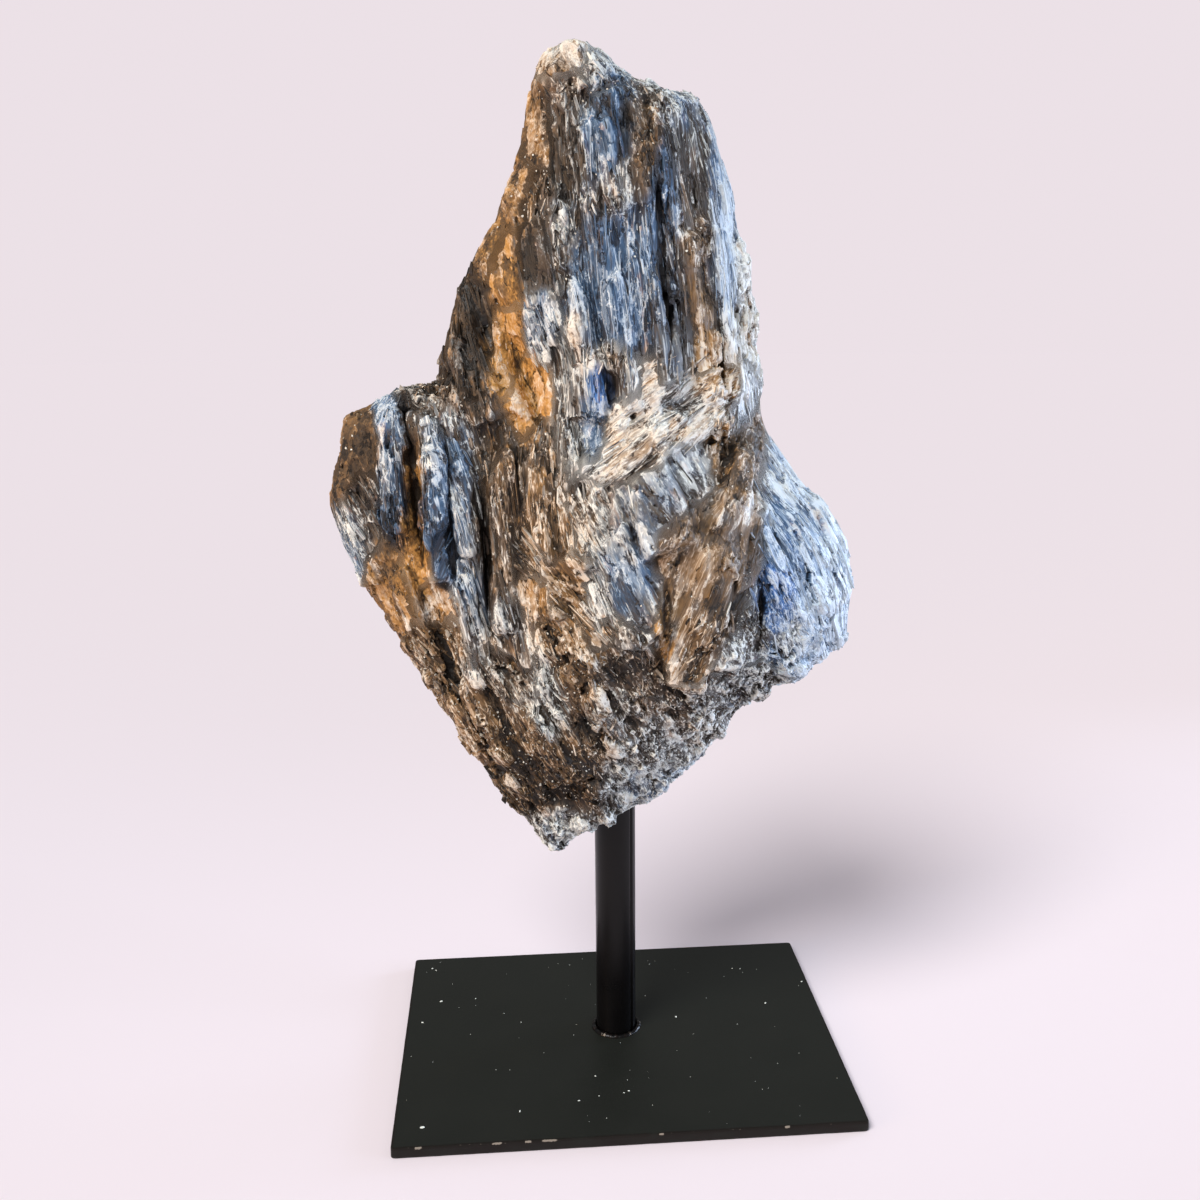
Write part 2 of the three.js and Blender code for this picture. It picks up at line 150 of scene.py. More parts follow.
ZONES = (
    # The tower, from its knob down
    Zone((-10, 219), (6, 4), -20, "earth", tone=0.84, brown=0.5, ochre=0.1, pale=0.6),
    Zone((-2, 217), (4, 4), -10, "short", tone=0.74, blue=0.3, pale=0.8),
    Zone((-16, 207), (3.5, 10), -12, "earth", tone=0.36, brown=1.0, ochre=0.3, pale=0.4),
    Zone((-20, 196), (3.5, 8), -25, "earth", tone=0.42, brown=1.0, ochre=0.4, pale=0.4),
    Zone((-25, 186), (3.5, 7), -30, "earth", tone=0.42, brown=1.0, ochre=0.35, pale=0.4),
    Zone((-9, 212), (3.5, 4), -7, "short", tone=0.28, brown=0.4, pale=0.7),
    Zone((-10, 202), (3, 10), -7, "long", tone=0.18, brown=0.15, pale=1.0),
    Zone((-5, 203), (2, 7), -7, "fibre", tone=0.62, blue=0.85, vivid=0.1, pale=0.8),
    Zone((0, 206), (3, 7), -7, "long", tone=0.14, blue=0.9, pale=0.4),
    Zone((5, 203), (2.2, 8), -7, "short", tone=0.42, brown=0.8, pale=0.6),
    Zone((9, 210), (6, 4), -7, "short", tone=0.5, blue=0.4, pale=0.9),
    Zone((13, 203), (4, 8), -7, "fibre", tone=0.36, blue=0.25, brown=0.2, pale=0.9),
    Zone((9, 195), (2.4, 10), -7, "long", tone=0.12, blue=0.85, vivid=0.1, pale=0.4),
    Zone((10, 176), (2.6, 11), -7, "long", tone=0.14, blue=0.5, pale=0.5),
    Zone((15, 193), (3.5, 10), -7, "long", tone=0.3, brown=0.35, pale=0.8),
    Zone((22, 188), (2.4, 15), -7, "fibre", tone=0.82, blue=0.75, pale=0.8),
    Zone((23, 172), (2.2, 10), -7, "fibre", tone=0.84, blue=0.7, pale=0.9),
    Zone((28, 172), (2.6, 12), -7, "short", tone=0.88, brown=0.3, ochre=0.1, pale=0.9),
    Zone((-2, 193), (4, 4), -7, "short", tone=0.36, blue=0.2, brown=0.4, pale=1.0),
    Zone((1, 195), (1.2, 4), -7, "fibre", tone=0.75, pale=1.0),
    Zone((-3, 184), (4, 5), -7, "fibre", tone=0.36, blue=0.9, pale=0.6),
    Zone((4, 185), (3, 6), -7, "fibre", tone=0.54, blue=0.7, pale=0.9),
    Zone((-6, 173), (3, 7), -7, "fibre", tone=0.46, blue=0.9, pale=0.7),
    Zone((1, 178), (3, 4), -7, "fibre", tone=0.5, blue=0.6, pale=0.9),
    Zone((3, 169), (4, 6), -7, "fibre", tone=0.44, blue=0.8, pale=0.7),
    Zone((-11, 186), (2.6, 7), -7, "short", tone=0.46, blue=0.15, pale=1.0),
    Zone((-16, 194), (3, 5), -7, "short", tone=0.34, brown=0.7, pale=0.7),
    Zone((-16, 181), (3.6, 6), -16, "plate", tone=0.06, brown=0.4, pale=0.4),
    Zone((-22, 180), (2.6, 8), -15, "earth", tone=0.52, brown=0.5, ochre=0.8, pale=0.4),
    Zone((-22, 164), (3, 8), -12, "earth", tone=0.64, ochre=1.0, pale=0.5),
    Zone((-18, 154), (4, 6), -10, "earth", tone=0.66, ochre=1.0, pale=0.4),
    Zone((-29, 167), (4, 9), -15, "long", tone=0.04, brown=0.3, pale=0.35),
    Zone((-34, 171), (2, 5), -15, "earth", tone=0.42, brown=0.9, pale=0.3),
    Zone((-15, 169), (2.6, 6), -16, "long", tone=0.55, blue=0.5, pale=1.0),
    Zone((-8, 167), (1.6, 4), -7, "short", tone=0.7, brown=0.7, pale=0.9),
    Zone((16, 184), (3, 5), -7, "short", tone=0.36, brown=0.6, pale=0.8),
    Zone((17, 174), (3.4, 7), -7, "plate", tone=0.34, brown=0.75, pale=0.5),
    Zone((20, 163), (4, 4), -7, "short", tone=0.52, brown=0.8, ochre=0.35, pale=0.6),
    Zone((10, 163), (3, 5), -7, "long", tone=0.24, blue=0.3, pale=0.5),
    # The wing
    Zone((-54, 144), (4, 7), -18, "earth", tone=0.24, brown=1.0, ochre=0.1, pale=0.2),
    Zone((-53, 131), (2.4, 8), -28, "long", tone=0.28, blue=0.2, pale=0.8),
    Zone((-56, 121), (1.8, 7), -28, "fibre", tone=0.58, blue=0.6, pale=0.9),
    Zone((-48, 152), (2.2, 5), -6, "fibre", tone=0.8, blue=0.95, vivid=0.3, pale=1.0),
    Zone((-47, 142), (2, 6), -6, "long", tone=0.54, blue=0.8, vivid=0.1, pale=1.0),
    Zone((-46, 131), (2, 6), -6, "long", tone=0.22, blue=0.9, pale=0.7),
    Zone((-43, 149), (2.2, 6), -6, "long", tone=0.08, blue=0.3, pale=0.6),
    Zone((-42, 138), (1.6, 8), -6, "earth", tone=0.52, ochre=0.9, pale=0.4),
    Zone((-43, 122), (2, 8), -6, "earth", tone=0.54, brown=0.5, ochre=0.9, pale=0.4),
    Zone((-38, 143), (2, 4), -6, "long", tone=0.48, blue=0.6, pale=1.0),
    Zone((-38, 133), (2.4, 6), -6, "long", tone=0.16, blue=0.95, pale=0.8),
    Zone((-32, 137), (2.6, 10), -13, "long", tone=0.46, blue=0.6, pale=0.8),
    Zone((-34, 149), (2, 3), -13, "long", tone=0.5, blue=0.3, pale=1.0),
    Zone((-27, 143), (3, 8), -13, "long", tone=0.2, brown=0.5, pale=0.8),
    Zone((-38, 154), (6, 2.5), -13, "short", tone=0.3, brown=0.5, pale=0.6),
    Zone((-36, 122), (1.8, 5), 30, "plate", tone=0.22, blue=0.95, vivid=0.1, pale=0.5),
    Zone((-38, 110), (3.6, 4), -16, "earth", tone=0.74, brown=0.6, ochre=0.5, pale=0.7),
    Zone((-31, 109), (2.6, 9), -13, "long", tone=0.54, blue=0.55, pale=0.9),
    Zone((-49, 114), (3.5, 7), -22, "earth", tone=0.42, brown=0.9, ochre=0.4, pale=0.3),
    Zone((-28, 122), (2, 9), -13, "long", tone=0.05, brown=0.3, pale=0.4),
    # The heart between tower, wing and fan
    Zone((-10, 152), (2.6, 9), -3, "fibre", tone=0.54, brown=0.1, pale=1.0),
    Zone((-3, 156), (1.6, 4), -3, "fibre", tone=0.52, blue=0.6, vivid=1.0, pale=0.6),
    Zone((-5, 147), (2, 6), -3, "fibre", tone=0.7, blue=0.85, vivid=0.1, pale=0.8),
    Zone((-1, 162), (4, 2.5), -3, "short", tone=0.74, brown=0.4, ochre=0.1, pale=1.0),
    Zone((1, 157), (2.4, 4), -3, "fibre", tone=0.52, blue=0.5, pale=0.9),
    Zone((-24, 134), (4, 12), -7, "fibre", tone=0.28, brown=0.55, ochre=0.1, pale=0.9),
    Zone((-15, 128), (4, 8), -7, "long", tone=0.5, brown=0.7, pale=0.8),
    Zone((-15, 140), (3, 8), -7, "fibre", tone=0.4, brown=0.6, ochre=0.2, pale=0.8),
    Zone((-12, 117), (4, 6), -44, "long", tone=0.48, brown=0.8, ochre=0.2, pale=0.6),
    Zone((-18, 123), (4, 4), -44, "long", tone=0.46, brown=0.55, pale=0.9),
    Zone((-5, 107), (4, 3.5), -44, "long", tone=0.5, brown=0.6, pale=0.9),
    Zone((-18, 113), (3.4, 4.5), -10, "earth", tone=0.7, brown=0.75, ochre=0.3, pale=0.7),
    Zone((-22, 105), (3.4, 6), -13, "long", tone=0.42, blue=0.3, brown=0.2, pale=0.8),
    # The fan
    Zone((6, 157), (2, 4), 52, "fibre", tone=0.8, brown=0.75, ochre=0.2, pale=0.8),
    Zone((10, 152), (7, 5), 52, "fibre", tone=0.84, brown=0.4, pale=1.0),
    Zone((15, 152), (2.6, 2), 52, "fibre", tone=0.42, blue=0.5, pale=0.7),
    Zone((18, 150), (3.5, 2), 52, "fibre", tone=0.8, brown=0.6, ochre=0.25, pale=0.8),
    Zone((2, 149), (3, 5), 52, "fibre", tone=0.78, brown=0.6, ochre=0.1, pale=0.8),
    Zone((22, 156), (4, 4), 52, "short", tone=0.56, brown=0.85, ochre=0.4, pale=0.7),
    Zone((27, 156), (2.4, 6), -12, "fibre", tone=0.76, blue=0.5, pale=0.9),
    Zone((0, 142), (6, 3.5), 52, "fibre", tone=0.7, brown=0.45, pale=0.8),
    Zone((7, 135), (5, 4), -26, "plate", tone=0.56, blue=0.5, pale=0.4),
    Zone((14, 139), (4, 4), -26, "plate", tone=0.82, blue=0.35, pale=0.5),
    Zone((-7, 131), (3.4, 6), -26, "fibre", tone=0.62, brown=0.4, pale=0.9),
    Zone((0, 125), (3.6, 6), -26, "plate", tone=0.7, blue=0.5, pale=0.5),
    Zone((2, 115), (3.4, 6), -26, "plate", tone=0.46, blue=0.65, pale=0.5),
    Zone((-5, 112), (2, 8), -26, "fibre", tone=0.68, blue=0.15, pale=1.0),
    Zone((13, 117), (4, 10), 22, "plate", tone=0.44, brown=0.75, pale=0.5),
    Zone((19, 118), (4.5, 9), 22, "plate", tone=0.46, brown=0.6, pale=0.4),
    Zone((24, 132), (5, 2.6), 22, "plate", tone=0.62, brown=0.65, pale=0.5),
    Zone((27, 125), (2.6, 3), 22, "plate", tone=0.28, brown=0.65, pale=0.3),
    Zone((28, 142), (4, 6), 22, "plate", tone=0.32, brown=0.6, pale=0.5),
    Zone((22, 144), (2, 6), 22, "short", tone=0.48, brown=0.8, ochre=0.3, pale=0.5),
    Zone((9, 108), (2, 4), 22, "earth", tone=0.6, brown=0.5, ochre=0.6, pale=0.5),
    Zone((18, 107), (5, 6), 22, "short", tone=0.36, brown=0.7, pale=0.7),
    # The blue boss
    Zone((34, 112), (3.4, 8), -32, "fibre", tone=0.54, blue=0.9, vivid=0.6, pale=0.8),
    Zone((36, 124), (4, 6), -32, "long", tone=0.74, blue=0.8, vivid=0.15, pale=1.0),
    Zone((45, 114), (6, 12), -32, "long", tone=0.92, blue=0.75, pale=1.0),
    Zone((36, 136), (5, 7), -32, "fibre", tone=0.8, blue=0.6, pale=1.0),
    Zone((38, 102), (5, 4), -32, "short", tone=0.72, blue=0.45, pale=1.0),
    Zone((28, 104), (2.6, 5), -32, "grain", tone=0.22, pale=1.0),
    Zone((24, 101), (4, 4), -32, "grain", tone=0.56, blue=0.15, pale=1.0),
    # The belly
    Zone((-36, 99), (5, 8), -28, "short", tone=0.38, brown=0.75, ochre=0.1, pale=0.7),
    Zone((-24, 93), (4, 7), -28, "short", tone=0.46, blue=0.1, brown=0.5, pale=0.9),
    Zone((-26, 84), (5, 6), -28, "short", tone=0.34, brown=0.85, ochre=0.1, pale=0.7),
    Zone((-15, 93), (2.4, 8), -28, "short", tone=0.66, blue=0.1, pale=1.0),
    Zone((-10, 102), (5, 6), -28, "short", tone=0.4, brown=0.85, ochre=0.2, pale=0.6),
    Zone((0, 102), (4.5, 6), -28, "short", tone=0.2, brown=0.45, pale=0.9),
    Zone((0, 90), (4, 5), -28, "short", tone=0.42, brown=0.5, pale=0.9),
    Zone((-6, 82), (5, 5), -28, "short", tone=0.26, brown=0.7, pale=0.8),
    Zone((-14, 73), (7, 7), -28, "short", tone=0.06, brown=0.8, pale=0.8),
    Zone((-1, 72), (2.2, 7), -28, "short", tone=0.6, blue=0.1, pale=1.0),
    Zone((-12, 60), (4, 4), -28, "grain", tone=0.62, blue=0.1, pale=0.9),
    Zone((6, 80), (5, 5), -28, "grain", tone=0.56, brown=0.2, pale=1.0),
    Zone((15, 86), (5, 5), -28, "grain", tone=0.5, brown=0.25, pale=1.0),
    Zone((10, 69), (5, 4), -28, "grain", tone=0.68, blue=0.35, pale=1.0),
    Zone((26, 92), (6, 5), -28, "grain", tone=0.52, blue=0.1, brown=0.1, pale=1.0),
    # The back, out of the photograph's sight
    Zone((0, 192), (24, 30), -7, "long", tone=0.36, blue=0.4, brown=0.3, pale=0.5, side=BACK),
    Zone((-42, 132), (18, 24), -13, "long", tone=0.36, blue=0.35, brown=0.4, pale=0.5, side=BACK),
    Zone((4, 140), (22, 18), 6, "long", tone=0.36, blue=0.3, brown=0.4, ochre=0.05, pale=0.5, side=BACK),
    Zone((38, 114), (18, 22), -22, "fibre", tone=0.5, blue=0.6, vivid=0.05, pale=0.7, side=BACK),
    Zone((2, 108), (20, 16), -20, "plate", tone=0.38, brown=0.6, ochre=0.1, pale=0.5, side=BACK),
    Zone((-8, 78), (26, 18), -26, "short", tone=0.38, brown=0.5, ochre=0.05, pale=0.5, side=BACK),
)


class Style(NamedTuple):
    """How a zone breaks up: cells in the rock, and the loose blades on it. Millimetres and degrees."""

    cell: tuple
    step: float
    grit: float
    mica: float
    per_cm2: float
    blade_length: tuple
    blade_width: tuple
    proud: tuple
    roll: float
    lift: tuple


STYLES = {
    "long": Style((5.2, 42), 0.75, 0.1, 0.04, 16, (3, 14), (0.22, 1.2), (0.02, 0.3), 10, (-0.6, 0.8)),
    "fibre": Style((2.2, 26), 0.34, 0.1, 0.1, 14, (4, 14), (0.2, 0.6), (0.02, 0.18), 8, (-0.4, 0.6)),
    "plate": Style((9, 20), 0.4, 0.15, 0.06, 3, (2, 8), (0.2, 0.7), (0.02, 0.14), 6, (-0.5, 0.6)),
    "short": Style((3.4, 9), 0.8, 0.5, 0.7, 26, (1, 4.5), (0.18, 0.65), (0.05, 0.4), 24, (-3, 6)),
    "grain": Style((1.9, 3.2), 0.5, 0.8, 1.0, 10, (0.8, 2.4), (0.2, 0.6), (0.05, 0.35), 30, (-6, 12)),
    "earth": Style((6, 7), 0.35, 0.85, 0.12, 5, (0.8, 2.2), (0.15, 0.3), (0.04, 0.14), 20, (-2, 4)),
}


def style_values(zones, field):
    """One field of the style of each zone index."""
    table = np.array([getattr(STYLES[z.style], field) for z in ZONES], float)
    return table[zones]


def zone_values(zones, field):
    """One field of each zone index."""
    return np.array([getattr(z, field) for z in ZONES], float)[zones]


def lattice_random(corners, salt):
    """A repeatable number from 0 to 1 for each corner of a whole-number lattice."""
    x, y, z = (corners[..., i].astype(np.uint32) for i in range(3))
    bits = x * np.uint32(0x9E3779B1) ^ y * np.uint32(0x85EBCA77) ^ z * np.uint32(0xC2B2AE3D)
    bits ^= np.uint32(salt * 0x27D4EB2F & 0xFFFFFFFF)
    for shift, factor in ((15, 0x2C1B3C6D), (12, 0x297A2D39), (15, 0x1B56C4E9)):
        bits = (bits ^ (bits >> np.uint32(shift))) * np.uint32(factor)
    return (bits ^ (bits >> np.uint32(14))).astype(float) / 2**32


def noise(points, salt):
    """Smooth noise from -1 to 1, one lattice cell to each unit."""
    base = np.floor(points).astype(np.int64)
    share = points - base
    share = share * share * (3 - 2 * share)
    total = np.zeros(len(points))
    for corner in np.ndindex(2, 2, 2):
        weight = np.prod(np.where(np.array(corner) == 1, share, 1 - share), axis=1)
        total += weight * lattice_random(base + corner, salt)
    return 2 * total - 1


def fractal(points, salt, octaves=4):
    """Noise summed over finer and finer octaves, about -1 to 1."""
    layers = [noise(points * 2**i, salt + i) / 2**i for i in range(octaves)]
    return np.sum(layers, axis=0) / (2 - 2 ** (1 - octaves))


def cells(points, salt):
    """The nearest of a jittered lattice of seeds.

    Gives its lattice corner, the way from it, and how far the cell's border is.
    """
    base = np.floor(points).astype(np.int64)
    nearest = np.full(len(points), np.inf)
    second = np.full(len(points), np.inf)
    corner = base.copy()
    way = np.zeros_like(points)
    for shift in np.ndindex(3, 3, 3):
        here = base + np.array(shift) - 1
        seed = here + np.stack([lattice_random(here, salt + i) for i in range(3)], axis=1)
        offset = points - seed
        distance = np.linalg.norm(offset, axis=1)
        closer = distance < nearest
        second = np.where(closer, nearest, np.minimum(second, distance))
        nearest = np.where(closer, distance, nearest)
        corner[closer] = here[closer]
        way[closer] = offset[closer]
    return corner, way, second - nearest


SIDE_PLANE = 7.0  # millimetres: points with a larger y belong to the back's zones
# How far the zones' borders wander, broadly and finely, in millimetres
BORDER_DRIFT = 1.5
BORDER_FRAY = 0.6


def zone_weights(points):
    """How much each zone counts at each point, with wandering borders."""
    wander = BORDER_DRIFT * np.stack([fractal(points / 9, salt) for salt in (11, 23)], axis=1)
    wander += BORDER_FRAY * np.stack([noise(points / 1.6, salt) for salt in (31, 43)], axis=1)
    seen = points[:, [0, 2]] + wander
    side = np.where(points[:, 1] + 3 * wander[:, 0] > SIDE_PLANE, BACK, FRONT)
    weights = []
    for zone in ZONES:
        away = (seen - zone.middle) / zone.reach
        weights.append(np.where(side == zone.side, np.exp(-0.5 * (away**2).sum(1)), 0))
    return np.array(weights).T + 1e-12


def hues_at(weights):
    """Tone and hues at each point, blended over the zones that reach it."""
    shares = weights**2
    shares /= shares.sum(1, keepdims=True)
    return {hue: shares @ np.array([getattr(z, hue) for z in ZONES], float) for hue in HUES}


def grain_axes(zones, swing=0):
    """The grain's direction and the direction across it, for each zone index."""
    lean = np.radians(zone_values(zones, "lean") + swing)
    flat = np.zeros(len(zones))
    along = np.stack([np.sin(lean), flat, np.cos(lean)], axis=1)
    across = np.stack([np.cos(lean), flat, -np.sin(lean)], axis=1)
    return along, across


LEAN_SHIFT = 300  # millimetres in the grain's pattern for each degree of lean


def grain_place(points, zones):
    """Points as millimetres across, through and along the grain, each lean shifted to a place of its own."""
    along, across = grain_axes(zones)
    place = np.stack([(points * across).sum(1), points[:, 1], (points * along).sum(1)], axis=1)
    return place + LEAN_SHIFT * zone_values(zones, "lean")[:, None]


def neighbour_mean(values, edges, rounds):
    """Values averaged with their neighbours along the edges, again and again."""
    count = len(values)
    pairs = np.concatenate([edges, edges[:, ::-1]])
    degree = np.bincount(pairs[:, 0], minlength=count)[:, None] + 1
    for _ in range(rounds):
        sums = [np.bincount(pairs[:, 0], values[pairs[:, 1], i], count) for i in range(values.shape[1])]
        values = (values + np.array(sums).T) / degree
    return values


def unit(vectors):
    return vectors / np.linalg.norm(vectors, axis=1, keepdims=True)


def read(items, name, width, kind=float):
    """An array of one property of a mesh's items."""
    values = np.zeros(len(items) * width, np.float32 if kind is float else np.int32)
    items.foreach_get(name, values)
    return values.reshape(-1, width).astype(kind)


def write_attributes(mesh, values):
    """Point attributes of a mesh, by name."""
    for name, array in values.items():
        vector = array.ndim == 2
        layer = mesh.attributes.new(name, "FLOAT_VECTOR" if vector else "FLOAT", "POINT")
        layer.data.foreach_set("vector" if vector else "value", array.astype(np.float32).ravel())


def new_piece(name, mesh, material, slot, *nodes):
    """Puts a mesh in the scene as a piece of the part that stands for CAD nodes."""
    mesh.materials.clear()
    mesh.materials.append(material)
    piece = bpy.data.objects.new(name, mesh)
    bpy.context.scene.collection.objects.link(piece)
    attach(piece, "root")
    if nodes:
        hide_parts(*nodes)
    return piece


def new_mesh(name, points, faces):
    """A mesh from points in millimetres and faces as lists of indices."""
    mesh = bpy.data.meshes.new(name)
    mesh.from_pydata((points * MM).tolist(), [], faces)
    mesh.validate()
    return mesh


def add_node(tree, kind, inputs=None, stops=(), output=0, **settings):
    """Adds a node and gives one of its outputs.

    Settings are its properties, inputs its values or links, and stops a ramp's colours.
    """
    node = tree.nodes.new(kind)
    for name, value in settings.items():
        setattr(node, name, value)
    for key, value in (inputs or {}).items():
        if isinstance(value, bpy.types.NodeSocket):
            tree.links.new(value, node.inputs[key])
        else:
            node.inputs[key].default_value = value
    for i, (place, shade) in enumerate(stops):
        ramp = node.color_ramp.elements
        stop = ramp[i] if i < 2 else ramp.new(place)
        stop.position = place
        stop.color = (*shade, 1)
    return node.outputs[output] if node.outputs else None


def new_material(name):
    """A material without nodes, and its node tree."""
    material = bpy.data.materials.new(name)
    material.use_nodes = True
    material.node_tree.nodes.clear()
    return material, material.node_tree


def end_in_surface(tree, inputs):
    """Ends a material's nodes in a principled surface with those inputs."""
    surface = add_node(tree, "ShaderNodeBsdfPrincipled", inputs)
    add_node(tree, "ShaderNodeOutputMaterial", {"Surface": surface})


def mixed(first, second, share):
    return tuple(a + (b - a) * share for a, b in zip(first, second))


GLINT = 0.75  # brightest part of a mineral's own colour where light catches it
PATCH = (3.2, 13)  # millimetres across and along the grain of one peeled layer


def kyanite_material(stone):
    """Kyanite cleaved along its blades, with stained rock between them.

    Cleavage gives the eye pearly faces striped along the grain, pale frayed edges and dark gaps, and the
    rock's hollows are darkened with painted shade. The rock between is duller, brown to ochre, and grainy.
    """
    material, tree = new_material("kyanite_cleaved")
    grain = add_node(tree, "ShaderNodeAttribute", output="Vector", attribute_name="grain")
    field = {}
    for name in (*HUES, "grit", "rim", "hollow"):
        field[name] = add_node(tree, "ShaderNodeAttribute", output="Fac", attribute_name=name)
    pale = field["pale"]

    def summed(start, *parts, clamp=False):
        """A start plus each part times its weight."""
        for part, weight in parts:
            inputs = {0: part, 1: weight, 2: start}
            start = add_node(tree, "ShaderNodeMath", inputs, operation="MULTIPLY_ADD", use_clamp=clamp)
        return start

    def times(first, *others):
        for other in others:
            first = add_node(tree, "ShaderNodeMath", {0: first, 1: other}, operation="MULTIPLY")
        return first

    def rising(value, low, high):
        """From 0 at low to 1 at high, and level outside them."""
        return summed(-low / (high - low), (value, 1 / (high - low)), clamp=True)

    def grain_pattern(wide, tall):
        """Places in a pattern that is so many millimetres wide and tall along the grain."""
        scale = (1 / wide, 1 / wide, 1 / tall)
        return add_node(tree, "ShaderNodeVectorMath", {0: grain, 1: scale}, operation="MULTIPLY")

    def stripes(fibres, stretch, detail):
        """Noise as stripes along the grain, some fibres wide."""
        wide = fibres * stone.fibre / MM
        place = grain_pattern(wide, stretch * wide)
        inputs = {"Vector": place, "Scale": 1.0, "Detail": detail, "Roughness": 0.6}
        return add_node(tree, "ShaderNodeTexNoise", inputs, output="Fac")

    # Stripes on blades, speckles on grainy rock, as one light and dark pattern round 0
    fine = stripes(0.8, 40, 3)
    broad = stripes(4.5, 18, 2)
    stripe = summed(-1.25, (fine, 1.5), (broad, 1.0))
    spot = summed(-2.0, (stripes(1.1, 1.4, 3), 2.4), (stripes(7, 1.3, 3), 1.6))
    pattern = add_node(tree, "ShaderNodeMix", {0: field["grit"], 2: stripe, 3: spot}, data_type="FLOAT")

    # Layers peel off in patches, each a shade of its own, with lacy edges or dark gaps between
    inputs = {"Vector": grain_pattern(1.5, 3.0), "Scale": 1.0, "Detail": 4.0, "Roughness": 0.65}
    fray = add_node(tree, "ShaderNodeTexNoise", inputs, output="Color")
    inputs = {0: fray, 1: (1.2, 1.2, 0.9), 2: grain_pattern(*PATCH)}
    frayed = add_node(tree, "ShaderNodeVectorMath", inputs, operation="MULTIPLY_ADD")
    inputs = {"Vector": frayed, "Scale": 1.0}
    border = add_node(tree, "ShaderNodeTexVoronoi", inputs, output="Distance", feature="DISTANCE_TO_EDGE")
    patch = add_node(tree, "ShaderNodeTexVoronoi", inputs, output="Color")
    patch = add_node(tree, "ShaderNodeSeparateXYZ", {0: patch})
    mottle = stripes(5, 1.6, 4)
    lace = times(rising(border, 0.085, 0.0), rising(mottle, 0.42, 0.6), pale)
    gap = times(rising(border, 0.06, 0.0), rising(mottle, 0.52, 0.4))

    # Frayed threads and rims go pale, gaps go dark, and the rock's hollows are darkened with painted shade
    thread = times(rising(stripes(0.6, 90, 1), 0.57, 0.7), pale)
    rim = add_node(tree, "ShaderNodeMath", {0: field["rim"]}, operation="ABSOLUTE")
    edge = times(rising(rim, 0.72, 1.0), pale, fine)
    light = summed(
        field["tone"],
        (pattern, summed(0.2, (pale, 0.28))),
        (thread, 0.5),
        (lace, 0.72),
        (gap, -0.5),
        (summed(-0.6, (patch, 1.0)), 0.42),
        (times(summed(-0.5, (mottle, 1.0)), pale), 0.7),
        (edge, 0.65),
        # painted shade: the rock's hollows and sheltered spots are darkened
        (field["hollow"], -0.5),
    )

    def mineral(body, stained):
        """A mineral's colours from its dark gaps to its glints."""
        silver = tuple(stone.silver)
        deep = mixed(body, tuple(stone.brown), stained)
        glint = mixed(tuple(GLINT * part / max(body) for part in body), silver, 0.5)
        stops = (
            (0.0, mixed((0, 0, 0), deep, 0.06)),
            (1.0, mixed(glint, silver, 0.35)),
            (0.28, mixed((0, 0, 0), deep, 0.36)),
            (0.52, body),
            (0.78, mixed(body, glint, 0.5)),
        )
        return add_node(tree, "ShaderNodeValToRGB", {"Fac": light}, stops)

    shade = mineral(tuple(stone.slate), 0.6)
    drift = summed(-1.0, (broad, 1.0), (stripes(3.2, 2.2, 3), 1.0))
    for name in ("blue", "vivid", "brown", "ochre"):
        share = rising(summed(field[name], (drift, 1.1)), 0.22, 0.74)
        body = mineral(tuple(getattr(stone, name)), 0.15)
        shade = add_node(tree, "ShaderNodeMix", {0: share, 6: shade, 7: body}, output=2, data_type="RGBA")

    height = summed(pattern, (lace, 1.0), (gap, -1.0))
    bump = add_node(tree, "ShaderNodeBump", {"Height": height, "Strength": 0.9, "Distance": 0.25 * MM})
    inputs = {"Base Color": shade, "Normal": bump, "IOR": 1.72, "Specular IOR Level": 0.25}
    inputs["Roughness"] = summed(0.22, (fine, 0.4), (field["grit"], 0.22))
    end_in_surface(tree, inputs)
    return material


def with_modifier(mesh, kind, **settings):
    """A new mesh: the given one after one modifier."""
    work = bpy.data.objects.new("rock_blank", mesh)
    bpy.context.scene.collection.objects.link(work)
    modifier = work.modifiers.new(kind, kind)
    for name, value in settings.items():
        setattr(modifier, name, value)
    shown = work.evaluated_get(bpy.context.evaluated_depsgraph_get())
    result = bpy.data.meshes.new_from_object(shown)
    bpy.data.objects.remove(work)
    return result


HOLE_CLEAR = 7.5  # millimetres round the post's axis that stay as drilled
ROCK_TRIANGLES = 196000
# Cells in cells: how much smaller each level is, and its share of the steps
BREAKS = ((1.0, 1.0), (0.4, 0.45))
CELL_BEND = 0.55  # shares of a cell by which its border strays
RIB_SIZE = 2.4  # a rib's size against a cell's, and its height against a step's
RIB_HEIGHT = 1.3
GRIT_HEIGHT = 0.38  # millimetres
FIBRE_HEIGHT = 0.07


def by_post(points):
    """Which points lie in or at the hole for the post."""
    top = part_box("post")[1].z / MM
    return (np.linalg.norm(points[:, :2] - post_axis(), axis=1) < HOLE_CLEAR) & (points[:, 2] < top + 1)


